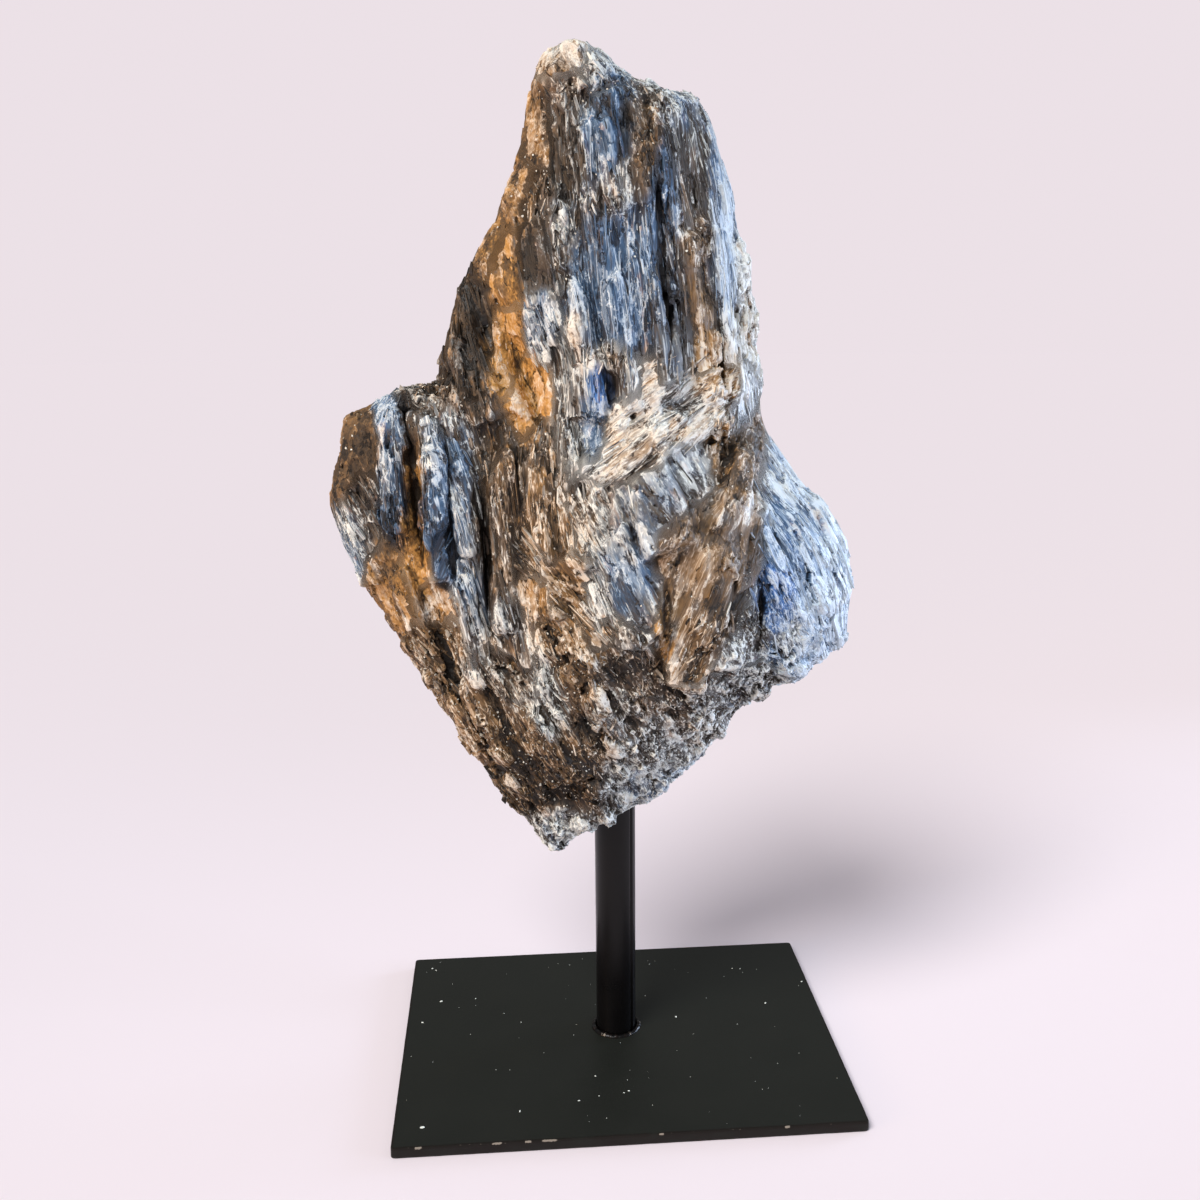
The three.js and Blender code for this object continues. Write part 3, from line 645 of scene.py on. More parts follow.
def broken_height(points, place, zones):
    """How far the broken surface stands above the solid's, and each cell's own shade."""
    size = style_values(zones, "cell")
    step = style_values(zones, "step")
    height = np.zeros(len(points))
    shade = np.zeros(len(points))
    bend = np.stack([fractal(place / (3.4, 3.4, 11), salt, 3) for salt in (61, 62, 63)], axis=1)
    ribs = 1 - 2 * np.abs(noise(place / (RIB_SIZE * size[:, [0, 0, 1]]), 85))
    height += RIB_HEIGHT * step * ribs
    for level, (shrink, share) in enumerate(BREAKS):
        scale = size[:, [0, 0, 1]] * shrink
        corner, way, border = cells(place / scale + CELL_BEND * bend, 50 + 10 * level)
        chance = [lattice_random(corner, 71 + 10 * level + i) * 2 - 1 for i in range(4)]
        tilt = chance[1] * way[:, 0] + 0.6 * chance[2] * way[:, 2]
        height += share * step * (chance[0] + 1.1 * tilt - 0.5 * np.exp(-((border / 0.06) ** 2)))
        shade += share * chance[3]
    height += style_values(zones, "grit") * GRIT_HEIGHT * fractal(points / 1.7, 91, 3)
    height += FIBRE_HEIGHT * noise(place / (0.8, 0.8, 12), 97)
    height[by_post(points)] = 0
    return height, shade


# Hollows of the solid that are shallow dips in the stone's face: x, z and reach in millimetres
HEALED = ((24.5, 126, 6.5), (-23.5, 166, 8))
HEALING = 300


def healed(points, edges):
    """The points with those hollows of the front smoothed out."""
    points = points.copy()
    for x, z, reach in HEALED:
        away = np.hypot(points[:, 0] - x, points[:, 2] - z)
        near = (away < 2 * reach) & (points[:, 1] < SIDE_PLANE)
        local = (np.cumsum(near) - 1)[edges[near[edges].all(1)]]
        share = np.exp(-((away[near] / reach) ** 4))[:, None]
        points[near] += share * (neighbour_mean(points[near], local, HEALING) - points[near])
    return points


def rock_tree(mesh):
    """The rock's triangles, in millimetres, for finding the nearest."""
    mesh.calc_loop_triangles()
    corners = read(mesh.loop_triangles, "vertices", 3, int)
    points = read(mesh.vertices, "co", 3) / MM
    return BVHTree.FromPolygons(points.tolist(), corners.tolist())


SHELTER_REACH = 5.0  # millimetres within which rock met by a ray shelters a point; that share paints shade into the rock's hollows
SHELTER_RAYS = 9


def shelter(mesh):
    """The share of rays from each of the rock's points that soon meet rock again, for painting shade into
    its hollows.
    """
    tree = rock_tree(mesh)
    chance = np.random.default_rng(3)
    normals = read(mesh.vertex_normals, "vector", 3)
    starts = (read(mesh.vertices, "co", 3) / MM + 0.08 * normals).tolist()
    met = np.zeros(len(starts))
    for _ in range(SHELTER_RAYS):
        ways = normals + 0.95 * unit(chance.normal(size=normals.shape))
        hits = [tree.ray_cast(start, way, SHELTER_REACH)[0] for start, way in zip(starts, ways.tolist())]
        met += [hit is not None for hit in hits]
    return met / SHELTER_RAYS


# Rounds of averaging with neighbours: what eases zone borders, wears edges, and shows relief and creases
EASED_ROUNDS = 16
WORN_ROUNDS = 44
RELIEF_ROUNDS = 70
CREASE_ROUNDS = 5


class KYANITE_OT_rock(bpy.types.Operator):
    """Break the stone's solid into blades and grains along its grain"""

    bl_idname = "kyanite.rock"
    bl_label = "Rock"

    def execute(self, context):
        stone = context.scene.kyanite_stone
        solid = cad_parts["kyanite"].data.copy()
        mesh = with_modifier(solid, "REMESH", mode="VOXEL", voxel_size=stone.detail)
        edges = read(mesh.edges, "vertices", 2, int)
        points = healed(read(mesh.vertices, "co", 3) / MM, edges)
        normals = unit(neighbour_mean(read(mesh.vertex_normals, "vector", 3), edges, 12))
        weights = zone_weights(points)
        zones = weights.argmax(1)
        place = grain_place(points, zones)
        height, shade = broken_height(points, place, zones)
        second, first = np.partition(weights, -2, axis=1)[:, -2:].T
        border = np.clip(3 - 4 * first / (first + second), 0, 1)
        height += border * (neighbour_mean(height[:, None], edges, EASED_ROUNDS)[:, 0] - height)
        worn = np.clip(0.72 + 0.8 * fractal(points / 6, 19, 3), 0, 1)
        worn[by_post(points)] = 0
        points += worn[:, None] * (neighbour_mean(points, edges, WORN_ROUNDS) - points)
        points += normals * height[:, None]
        relief = ((points - neighbour_mean(points, edges, RELIEF_ROUNDS)) * normals).sum(1)
        crease = ((points - neighbour_mean(points, edges, CREASE_ROUNDS)) * normals).sum(1)
        values = hues_at(weights)
        # Painted light and shade: raised relief is lightened and recesses are darkened in the stone's tone
        values["tone"] += 0.1 * shade + 0.14 * np.clip(relief, -1, 1)
        stain = 0.3 * fractal(points / 8, 33, 3)
        values["blue"] += stain
        values["brown"] -= stain
        values["grain"] = place
        values["grit"] = style_values(zones, "grit")
        values["rim"] = np.clip(0.5 + crease / 0.22, 0, 1)
        # Painted shade in the recesses of the relief
        values["hollow"] = np.clip(-relief / 1.2, 0, 1)
        mesh.vertices.foreach_set("co", (points * MM).astype(np.float32).ravel())
        write_attributes(mesh, values)
        mesh.calc_loop_triangles()
        ratio = min(1, ROCK_TRIANGLES / len(mesh.loop_triangles))
        mesh = with_modifier(mesh, "DECIMATE", ratio=ratio)
        hollow = read(mesh.attributes["hollow"].data, "value", 1)[:, 0]
        # Painted shade: the colour is darkened in hollows and where nearby rock shelters a point
        hollow = np.clip(0.6 * hollow + 1.3 * (shelter(mesh) - 0.2), 0, 1)
        mesh.attributes["hollow"].data.foreach_set("value", hollow.astype(np.float32))
        mesh.shade_smooth()
        mesh.set_sharp_from_angle(angle=math.radians(40))
        new_piece("kyanite_rock", mesh, kyanite_material(stone), "kyanite", "kyanite")
        return {"FINISHED"}


def scatter(mesh, density, chance):
    """Random spots on a mesh, by a density per square centimetre: a vertex beside each, and the spot."""
    mesh.calc_loop_triangles()
    corners = read(mesh.loop_triangles, "vertices", 3, int)
    points = read(mesh.vertices, "co", 3) / MM
    a, b, c = (points[corners[:, i]] for i in range(3))
    area = np.linalg.norm(np.cross(b - a, c - a), axis=1) / 200
    expected = np.cumsum(area * density[corners[:, 0]])
    picks = np.searchsorted(expected, chance.random(int(expected[-1])) * expected[-1])
    share = chance.random((len(picks), 2))
    share = np.where(share.sum(1, keepdims=True) > 1, 1 - share, share)
    spots = a[picks] + share[:, :1] * (b - a)[picks] + share[:, 1:] * (c - a)[picks]
    return corners[picks, 0], spots


def between(chance, limits):
    """Random values between limits given as an array of pairs, more of them near the lower one."""
    return limits[:, 0] + (limits[:, 1] - limits[:, 0]) * chance.random(len(limits)) ** 1.6


def turned(first, second, angle):
    """Two directions turned towards each other by an angle."""
    c, s = np.cos(angle)[:, None], np.sin(angle)[:, None]
    return c * first + s * second, c * second - s * first


# A blade's foot, waist and end: place along it, share of its width, share of its height
STATIONS = ((0.0, 0.4, -0.5), (0.35, 1.0, 1.0), (1.0, 1.0, 0.8))
CORNERS = ((-1, 0), (1, 0), (1, 1), (-1, 1))
BLADE_ROOT = 0.4  # share of a blade's length behind the spot it grows on
OVERHANG = 0.35  # millimetres that a blade's end may stand off the rock


def overhang(tree, spots, ways):
    """How far spots stand off the rock, in millimetres. Ways point out of it. Spots inside count as 0."""
    away = []
    for spot, way in zip(spots.tolist(), ways.tolist()):
        _, normal, _, _ = tree.ray_cast(spot, way)
        inside = normal is not None and normal.dot(Vector(way)) > 0
        away.append(0 if inside else tree.find_nearest(spot)[3])
    return np.array(away)


class Growth(NamedTuple):
    """One crop of blades: shares of each style's numbers, and how much the shades differ."""

    number: float
    length: float
    width: float
    proud: float
    shade: float
    pale: float


SHARDS = Growth(number=0.12, length=1.3, width=2.6, proud=1.5, shade=0.14, pale=0.0)
BLADES = Growth(number=1.0, length=1.0, width=1.0, proud=1.0, shade=0.1, pale=0.0)
SPLINTERS = Growth(number=1.4, length=0.5, width=0.2, proud=0.6, shade=0.13, pale=0.05)
GRAIN_WANDER = 11.0  # degrees that the grain strays within a zone


def grow(name, stone, growth, seed):
    """Grows loose blades over the rock, along its grain, as one piece."""
    mesh = bpy.data.objects["kyanite_rock"].data
    chance = np.random.default_rng(seed)
    points = read(mesh.vertices, "co", 3) / MM
    edges = read(mesh.edges, "vertices", 2, int)
    normals = unit(neighbour_mean(read(mesh.vertex_normals, "vector", 3), edges, 24))
    zones = zone_weights(points).argmax(1)
    hollow = read(mesh.attributes["hollow"].data, "value", 1)[:, 0]
    density = style_values(zones, "per_cm2") * stone.crystals * growth.number
    density *= np.clip(1 - 1.5 * hollow, 0, 1)
    density[by_post(points)] = 0
    host, spots = scatter(mesh, density, chance)
    count = len(host)
    zone = zones[host]
    long = growth.length * between(chance, style_values(zone, "blade_length"))
    half = growth.width * between(chance, style_values(zone, "blade_width")) / 2
    proud = growth.proud * between(chance, style_values(zone, "proud"))
    roll = np.radians(chance.normal(0, 0.5, count) * style_values(zone, "roll"))
    lift_low, lift_high = style_values(zone, "lift").T
    lift = np.radians(lift_low + (lift_high - lift_low) * chance.random(count))
    grit = style_values(zone, "grit")
    swing = chance.normal(0, 2.5, count) + chance.normal(0, 40, count) * grit
    swing += GRAIN_WANDER * fractal(spots / 14, 77, 2)
    along, _ = grain_axes(zone, swing)
    along *= np.where(chance.random(count) < 0.3, -1, 1)[:, None]
    up = normals[host]
    along = unit(along - up * (along * up).sum(1, keepdims=True))
    across = np.cross(up, along)
    up, across = turned(up, across, roll)
    along, up = turned(along, up, lift)

    # A blade whose ends would stand off the rock is cut short, or left out
    tree = rock_tree(mesh)
    for cut in (0.55, 0.55, 0):
        ends = spots + along * ((1 - BLADE_ROOT) * long)[:, None] + up * proud[:, None]
        feet = spots - along * (BLADE_ROOT * long)[:, None]
        off = np.maximum(overhang(tree, ends, up) - proud, overhang(tree, feet, up))
        long = np.where(off > OVERHANG, cut * long, long)
    keep = long > 0
    host, zone, spots, long, half, proud = (a[keep] for a in (host, zone, spots, long, half, proud))
    along, across, up, grit = (a[keep] for a in (along, across, up, grit))
    count = len(host)

    thick = 0.4 + 0.4 * half
    slant = chance.normal(0, 0.8, count) * half
    taper = 0.25 + 0.65 * chance.random(count)
    verts, rims, grains = [], [], []
    grain_start = chance.random((count, 3)) * 900
    for along_share, width, height in STATIONS:
        end = along_share == 1.0
        for side, top in CORNERS:
            ragged = chance.normal(0, 0.3, count) * end
            ahead = (along_share - BLADE_ROOT) * long + end * side * slant + ragged
            aside = side * half * width * (1 - 0.14 * top) * np.where(end, taper, 1)
            above = np.where(top, proud * height if height > 0 else -thick * 0.4, -thick)
            verts.append(spots + along * ahead[:, None] + across * aside[:, None] + up * above[:, None])
            rims.append(np.full(count, float(side)))
            grains.append(grain_start + np.stack([aside, above, ahead], axis=1))
    stations = len(STATIONS)
    faces = [[3, 2, 1, 0], [4 * stations - 4 + i for i in range(4)]]
    for s in range(stations - 1):
        for i in range(4):
            j = (i + 1) % 4
            faces.append([4 * s + i, 4 * s + j, 4 * s + 4 + j, 4 * s + 4 + i])
    each = 4 * stations
    verts = np.stack(verts, axis=1).reshape(-1, 3)
    faces = (np.array(faces)[None] + each * np.arange(count)[:, None, None]).reshape(-1, 4)
    blades = new_mesh(name, verts, faces.tolist())
    own = {hue: read(mesh.attributes[hue].data, "value", 1)[host, 0] for hue in HUES}
    own["tone"] = own["tone"] + growth.pale + chance.normal(0, growth.shade, count)
    own["grit"] = 0.6 * grit
    # Blades take on the painted shade of the rock beneath them
    own["hollow"] = hollow[host] * 0.6
    values = {name: np.repeat(array, each) for name, array in own.items()}
    values["rim"] = np.stack(rims, axis=1).ravel()
    values["grain"] = np.stack(grains, axis=1).reshape(-1, 3)
    write_attributes(blades, values)
    new_piece(name, blades, mesh.materials[0], "kyanite")


class KYANITE_OT_shards(bpy.types.Operator):
    """Break broad shards loose over the rock, along its grain"""

    bl_idname = "kyanite.shards"
    bl_label = "Shards"

    def execute(self, context):
        grow("kyanite_shards", context.scene.kyanite_stone, SHARDS, seed=61)
        return {"FINISHED"}


class KYANITE_OT_blades(bpy.types.Operator):
    """Grow loose crystal blades over the rock, along its grain"""

    bl_idname = "kyanite.blades"
    bl_label = "Blades"

    def execute(self, context):
        grow("kyanite_blades", context.scene.kyanite_stone, BLADES, seed=17)
        return {"FINISHED"}


class KYANITE_OT_splinters(bpy.types.Operator):
    """Fray the rock with fine splinters between its blades"""

    bl_idname = "kyanite.splinters"
    bl_label = "Splinters"

    def execute(self, context):
        grow("kyanite_splinters", context.scene.kyanite_stone, SPLINTERS, seed=41)
        return {"FINISHED"}


def mica_material(stone):
    """Muscovite mica, split into flakes: silvery, and bright where a flake faces the light."""
    material, tree = new_material("mica_split")
    place = add_node(tree, "ShaderNodeTexCoord", output="Object")
    inputs = {"Vector": place, "Scale": 1 / (4 * MM), "Detail": 2.0}
    cloud = add_node(tree, "ShaderNodeTexNoise", inputs, output="Fac")
    silver = tuple(stone.silver)
    stops = ((0.3, mixed(tuple(stone.brown), silver, 0.25)), (0.7, silver))
    shade = add_node(tree, "ShaderNodeValToRGB", {"Fac": cloud}, stops)
    gloss = add_node(tree, "ShaderNodeMapRange", {"Value": cloud, "To Min": 0.18, "To Max": 0.42})
    end_in_surface(tree, {"Base Color": shade, "Roughness": gloss, "IOR": 1.58})
    return material


FLAKE_SIDES = 6


class KYANITE_OT_mica(bpy.types.Operator):
    """Scatter small mica flakes over the grainy rock"""

    bl_idname = "kyanite.mica"
    bl_label = "Mica"

    def execute(self, context):
        stone = context.scene.kyanite_stone
        mesh = bpy.data.objects["kyanite_rock"].data
        chance = np.random.default_rng(29)
        points = read(mesh.vertices, "co", 3) / MM
        hollow = read(mesh.attributes["hollow"].data, "value", 1)[:, 0]
        density = style_values(zone_weights(points).argmax(1), "mica") * np.clip(1 - hollow, 0, 1)
        host, spots = scatter(mesh, density * 60, chance)
        keep = chance.permutation(len(host))[: stone.flakes]
        host, spots = host[keep], spots[keep]
        count = len(host)
        normals = read(mesh.vertex_normals, "vector", 3)[host]
        up = unit(normals + chance.normal(0, 0.45, (count, 3)))
        side = unit(np.cross(up, chance.normal(0, 1, (count, 3))))
        other = np.cross(up, side)
        radius = 0.1 + 0.18 * chance.random(count) ** 2
        verts = []
        for level in (-0.04, 0.04):
            for i in range(FLAKE_SIDES):
                turn = 2 * math.pi * i / FLAKE_SIDES
                reach = (radius * (0.75 + 0.5 * chance.random(count)))[:, None]
                rise = 0.05 + level
                verts.append(spots + reach * (math.cos(turn) * side + math.sin(turn) * other) + up * rise)
        n = FLAKE_SIDES
        faces = [list(range(n - 1, -1, -1)), list(range(n, 2 * n))]
        faces += [[i, (i + 1) % n, n + (i + 1) % n, n + i] for i in range(n)]
        verts = np.stack(verts, axis=1).reshape(-1, 3)
        whole = [[i + 2 * n * k for i in face] for k in range(count) for face in faces]
        flakes = new_mesh("mica_flakes", verts, whole)
        new_piece("mica_flakes", flakes, mica_material(stone), "kyanite")
        return {"FINISHED"}


def ring_mesh(name, rings, closed):
    """A mesh through rings of points. Closed joins the last ring to the first, else both ends are capped."""
    rings = np.array(rings)
    levels, count, _ = rings.shape
    first = list(range(count - 1, -1, -1))
    last = [(levels - 1) * count + i for i in range(count)]
    faces = [] if closed else [first, last]
    for level in range(levels if closed else levels - 1):
        low, high = level * count, (level + 1) % levels * count
        for i in range(count):
            j = (i + 1) % count
            faces.append([low + i, low + j, high + j, high + i])
    mesh = new_mesh(name, rings.reshape(-1, 3), faces)
    mesh.shade_smooth()
    mesh.set_sharp_from_angle(angle=math.radians(35))
    return mesh


RUST_AND_SIDE_SHADE = "#140b08"  # paint gone brown over a cut edge, and darker than the top: partly painted shade on the plate's sides


def paint_material(name, paint, bare, roughness, grain, sheen):
    """Black paint sprayed on steel: a faintly uneven satin, with pale bare metal where edges are worn, and a
    dark brown over worn edges that is partly painted shade.
    """
    material, tree = new_material(name)
    place = add_node(tree, "ShaderNodeTexCoord", output="Object")
    inputs = {"Vector": place, "Scale": 1 / (11 * MM), "Detail": 5.0}
    cloud = add_node(tree, "ShaderNodeTexNoise", inputs, output="Fac")
    inputs = {"Vector": place, "Scale": 1 / (grain * MM), "Detail": 2.0}
    spray = add_node(tree, "ShaderNodeTexNoise", inputs, output="Fac")
    stops = ((0.3, mixed((0, 0, 0), paint, 0.94)), (0.7, mixed(paint, bare, 0.006)))
    shade = add_node(tree, "ShaderNodeValToRGB", {"Fac": cloud}, stops)
    worn = add_node(tree, "ShaderNodeAttribute", output="Fac", attribute_name="worn")
    chip = add_node(tree, "ShaderNodeMath", {0: worn, 1: spray}, operation="ADD")
    chip = add_node(tree, "ShaderNodeMapRange", {"Value": chip, "From Min": 1.12, "From Max": 1.3})
    # Rust brown and partly painted shade: every side face of the plate is darkened against its top
    rust_and_side_shade = add_node(tree, "ShaderNodeMapRange", {"Value": worn, "From Max": 0.2, "To Max": 0.7})
    for share, cover in ((rust_and_side_shade, linear(RUST_AND_SIDE_SHADE)), (chip, bare)):
        inputs = {0: share, 6: shade, 7: (*cover, 1)}
        shade = add_node(tree, "ShaderNodeMix", inputs, output=2, data_type="RGBA")
    inputs = {"Value": cloud, "To Min": roughness - 0.1, "To Max": roughness + 0.1}
    gloss = add_node(tree, "ShaderNodeMapRange", inputs)
    bump = add_node(tree, "ShaderNodeBump", {"Height": spray, "Strength": 0.25, "Distance": 0.05 * MM})
    inputs = {"Base Color": shade, "Roughness": gloss, "Normal": bump, "Specular IOR Level": sheen}
    end_in_surface(tree, inputs)
    return material


def post_axis():
    """Where the post stands, in millimetres."""
    low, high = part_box("post")
    return np.array((low + high)[:2]) / 2 / MM


PLATE_POINTS = 720
PLATE_CORNER = 0.9
# The plate's edge from the underside up: millimetres inwards, share of the height, and how worn it is; wear
# browns the sides, partly as painted shade darker than the top
PLATE_EDGE = (
    (0.3, 0.0, 0.2), (0.06, 0.1, 0.25), (0.0, 0.25, 0.25), (0.0, 0.75, 0.25),
    (0.03, 0.9, 0.55), (0.14, 0.98, 0.62), (0.4, 1.0, 0.25), (0.75, 1.0, 0.0),
)
# Pale chips along the plate's front upper edge: x and length in millimetres
EDGE_CHIPS = ((-17.5, 1.6), (-22, 0.5), (-28.6, 0.8), (-45, 0.7), (6, 0.6), (33, 0.6))
SOCKET_DEPTH = 1.5
SOCKET_GAP = 0.3


def plate_outline(low, high):
    """Points along a rectangle with rounded corners, counterclockwise, and the way out at each."""
    half = (high - low)[:2] / 2
    turn = np.linspace(0, 2 * math.pi, PLATE_POINTS, endpoint=False)
    way = np.stack([np.cos(turn), np.sin(turn)], axis=1)
    spots = way / np.abs(way / half).max(1, keepdims=True)
    inner = np.clip(spots, -(half - PLATE_CORNER), half - PLATE_CORNER)
    out = spots - inner
    out = unit(np.where(np.linalg.norm(out, axis=1, keepdims=True) < 1e-6, way, out))
    return (low + high)[:2] / 2 + inner + PLATE_CORNER * out, out


class KYANITE_OT_plate(bpy.types.Operator):
    """Shear the base plate, with ragged edges and a socket for the post"""

    bl_idname = "kyanite.plate"
    bl_label = "Plate"

    def execute(self, context):
        stand = context.scene.kyanite_stand
        low, high = (np.array(corner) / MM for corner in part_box("stand_plate"))
        outline, out = plate_outline(low, high)
        thick = high[2]
        rings, worn = [], []
        flat = np.zeros(PLATE_POINTS)
        chips = sum(np.exp(-(((outline[:, 0] - x) / long) ** 4)) for x, long in EDGE_CHIPS)
        chips = chips * (outline[:, 1] < low[1] + 1)
        for inset, rise, wear in PLATE_EDGE:
            place = np.column_stack([outline, flat + rise * thick * 4])
            ragged = stand.raggedness / MM * (0.5 + 0.5 * fractal(place / 1.7, 7, 4))
            spots = outline - out * (inset + ragged)[:, None]
            rings.append(np.column_stack([spots, flat + rise * thick]))
            patchy = np.clip(0.6 + 0.8 * fractal(place / 5, 8, 3), 0, 1)
            worn.append(np.clip(wear * patchy + chips * (wear > 0.3), 0, 1))
        axis = post_axis()
        to_rim = unit(outline - axis)
        post_low, post_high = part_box("post")
        mouth = (post_high.x - post_low.x) / 2 / MM + SOCKET_GAP
        for reach, height in ((mouth + 0.3, thick), (mouth, thick - 0.3), (mouth, thick - SOCKET_DEPTH)):
            rings.append(np.column_stack([axis + reach * to_rim, flat + height]))
            worn.append(flat)
        mesh = ring_mesh("base_plate", rings, closed=False)
        write_attributes(mesh, {"worn": np.concatenate(worn)})
        paint, bare = tuple(stand.paint), tuple(stand.bare)
        material = paint_material("paint_sprayed_on_plate", paint, bare, 0.5, 0.5, 0.22)
        new_piece("base_plate", mesh, material, "plate_paint", "stand_plate")
        return {"FINISHED"}


POST_SIDES = 192
POST_LEVELS = 48
POST_WALL = 1.2
SEAM_WIDTH = 0.7
SEAM_DEPTH = 0.6
SEAM_TURN = 48  # degrees from straight ahead to the seam, towards +X


class KYANITE_OT_post(bpy.types.Operator):
    """Roll the post with its seam, and lay the bead round its foot"""

    bl_idname = "kyanite.post"
    bl_label = "Post"

    def execute(self, context):
        stand = context.scene.kyanite_stand
        low, high = (np.array(corner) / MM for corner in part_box("post"))
        radius = (high - low)[0] / 2
        axis = post_axis()
        turn = np.linspace(0, 2 * math.pi, POST_SIDES, endpoint=False)
        way = np.stack([np.cos(turn), np.sin(turn)], axis=1)
        seam = math.radians(SEAM_TURN - 90)
        from_seam = radius * np.abs((turn - seam + math.pi) % (2 * math.pi) - math.pi)
        groove = SEAM_DEPTH * np.exp(-((from_seam / (SEAM_WIDTH / 2)) ** 4))
        lip = 0.03 * np.exp(-(((from_seam - 0.8) / 0.5) ** 2))
        rings = []
        for height in np.linspace(low[2], high[2], POST_LEVELS):
            place = np.column_stack([axis + radius * way, np.full(POST_SIDES, height)])
            dented = radius - 0.05 - groove + lip + 0.02 * fractal(place / 5, 5, 3)
            rings.append(np.column_stack([axis + dented[:, None] * way, place[:, 2]]))
        for height in (high[2], low[2]):
            spots = axis + (radius - POST_WALL) * way
            rings.append(np.column_stack([spots, np.full(POST_SIDES, height)]))
        mesh = ring_mesh("rolled_post", rings, closed=True)
        write_attributes(mesh, {"worn": np.zeros(len(mesh.vertices))})
        paint, bare = tuple(stand.tube_paint), tuple(stand.bare)
        material = paint_material("paint_sprayed_on_tube", paint, bare, 0.3, 0.8, 0.22)
        new_piece("rolled_post", mesh, material, "post_paint", "post")
        self.bead(stand, axis, way, material)
        return {"FINISHED"}

    def bead(self, stand, axis, way, material):
        low, high = (np.array(corner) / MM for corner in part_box("weld_bead"))
        post_low, post_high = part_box("post")
        inner = (post_high.x - post_low.x) / 2 / MM + SOCKET_GAP
        width = (high - low)[0] / 2 - inner
        tall = (high - low)[2]
        rough = fractal(np.column_stack([way * 4, np.zeros(len(way))]), 13, 3)
        lumpy = fractal(np.column_stack([way * 9, np.ones(len(way))]), 14, 3)
        rings, worn = [], []
        for reach, rise in ((0.85, 0.0), (0.8, 0.3), (0.55, 0.7), (0.25, 0.85), (0.0, 0.75), (0.0, 0.0)):
            out = inner + width * reach * (1 + 0.25 * rough)
            height = low[2] + tall * rise * (1 + 0.3 * lumpy)
            rings.append(np.column_stack([axis + out[:, None] * way, height]))
            worn.append(np.clip(0.1 + 1.3 * lumpy, 0, 1) * (0.2 < rise < 0.8))
        mesh = ring_mesh("foot_bead", rings, closed=True)
        write_attributes(mesh, {"worn": np.concatenate(worn)})
        new_piece("foot_bead", mesh, material, "plate_paint", "weld_bead")


# Grains of dust that stand out on the plate: x, y and size in millimetres
DUST = (
    (14.9, 5, 0.3), (-47, 8, 0.28), (-34.3, 17.5, 0.2), (-42.9, 17, 0.34), (-46, 33, 0.26), (-45, 32, 0.22),
    (-23.7, -28, 0.26), (-6.5, -17, 0.2), (0.5, -23, 0.22), (-0.6, -23.6, 0.16), (-10.7, -25.5, 0.22),
    (-6.2, -24.2, 0.16), (37.9, 9, 0.3), (49.2, 18, 0.24), (32.6, 26, 0.18), (34.6, 25.6, 0.18),
    (-44.5, -31.6, 0.42), (8.4, 15, 0.14), (11.2, 30, 0.16), (-23, 6, 0.15),
)
FAINT_DUST = 60
DUST_SIDES = 8


class KYANITE_OT_dust(bpy.types.Operator):
    """Strew pale grains of dust over the plate"""

    bl_idname = "kyanite.dust"
    bl_label = "Dust"

    def execute(self, context):
        chance = np.random.default_rng(5)
        low, high = (np.array(corner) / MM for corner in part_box("stand_plate"))
        spots = low[:2] + 2 + (high - low - 4)[:2] * chance.random((FAINT_DUST, 2))
        faint = np.column_stack([spots, 0.05 + 0.07 * chance.random(FAINT_DUST)])
        clear = np.linalg.norm(faint[:, :2] - post_axis(), axis=1) > HOLE_CLEAR
        verts, faces = [], []
        for x, y, size in (*DUST, *faint[clear]):
            turn = np.linspace(0, 2 * math.pi, DUST_SIDES, endpoint=False)
            ragged = size * (0.8 + 0.4 * chance.random(DUST_SIDES))
            long = chance.uniform(0.6, 1.3)
            ring = np.stack([long * ragged * np.cos(turn), ragged * np.sin(turn) / long], axis=1)
            spin = chance.uniform(0, math.pi)
            ring = ring @ np.array([[math.cos(spin), math.sin(spin)], [-math.sin(spin), math.cos(spin)]])
            first = len(verts)
            for share, rise in ((1.0, -0.02), (0.6, 0.35 * size)):
                verts += [(x + share * u, y + share * v, high[2] + rise) for u, v in ring]
            base = [first + i for i in range(DUST_SIDES)]
            top = [first + DUST_SIDES + i for i in range(DUST_SIDES)]
            faces += [base[::-1], top]
            for i in range(DUST_SIDES):
                j = (i + 1) % DUST_SIDES
                faces.append([base[i], base[j], top[j], top[i]])
        mesh = new_mesh("plate_dust", np.array(verts), faces)
        # Rock dust that has settled: matt and pale, it gives the plate its white specks
        material, tree = new_material("rock_dust_settled")
        silver = context.scene.kyanite_stone.silver
        end_in_surface(tree, {"Base Color": (*silver, 1), "Roughness": 0.9})
        new_piece("plate_dust", mesh, material, "plate_paint")
        return {"FINISHED"}


# The photograph's camera: place in millimetres, then degrees of turn, dip and roll
CAMERA_PLACE = (-22.3, -261.9, 172.9)
CAMERA_TURN = -4.17
CAMERA_DIP = 13.62
CAMERA_ROLL = -0.53
SENSOR_WIDTH = 36
FLOOR_REACH = 4.0  # metres
FLOOR_SIDES = 96
AMBIENT = 0.3  # strength of the light from all round
PAPER_GLOW = 0.96  # strength of the background behind the floor's edge
KEY_WAY = (0.55, 0.62, -1.0)
KEY_POWER = 2.7
KEY_SPREAD = 28  # degrees: a wide, soft sun
# Side lights: name, place and target in metres, size, power and colour
SIDE_LIGHTS = (
    ("warm_side", (-0.50, -0.26, 0.17), (0, 0, 0.18), 0.16, 0.14, "#ffd0a0"),
    ("cool_side", (0.46, -0.16, 0.17), (0, 0, 0.17), 0.16, 0.13, "#cfe2ff"),
    ("cool_edge", (0.46, 0.16, 0.08), (0, 0, 0.07), 0.2, 0.2, "#cfe2ff"),
)
SIDE_SPREAD = 48


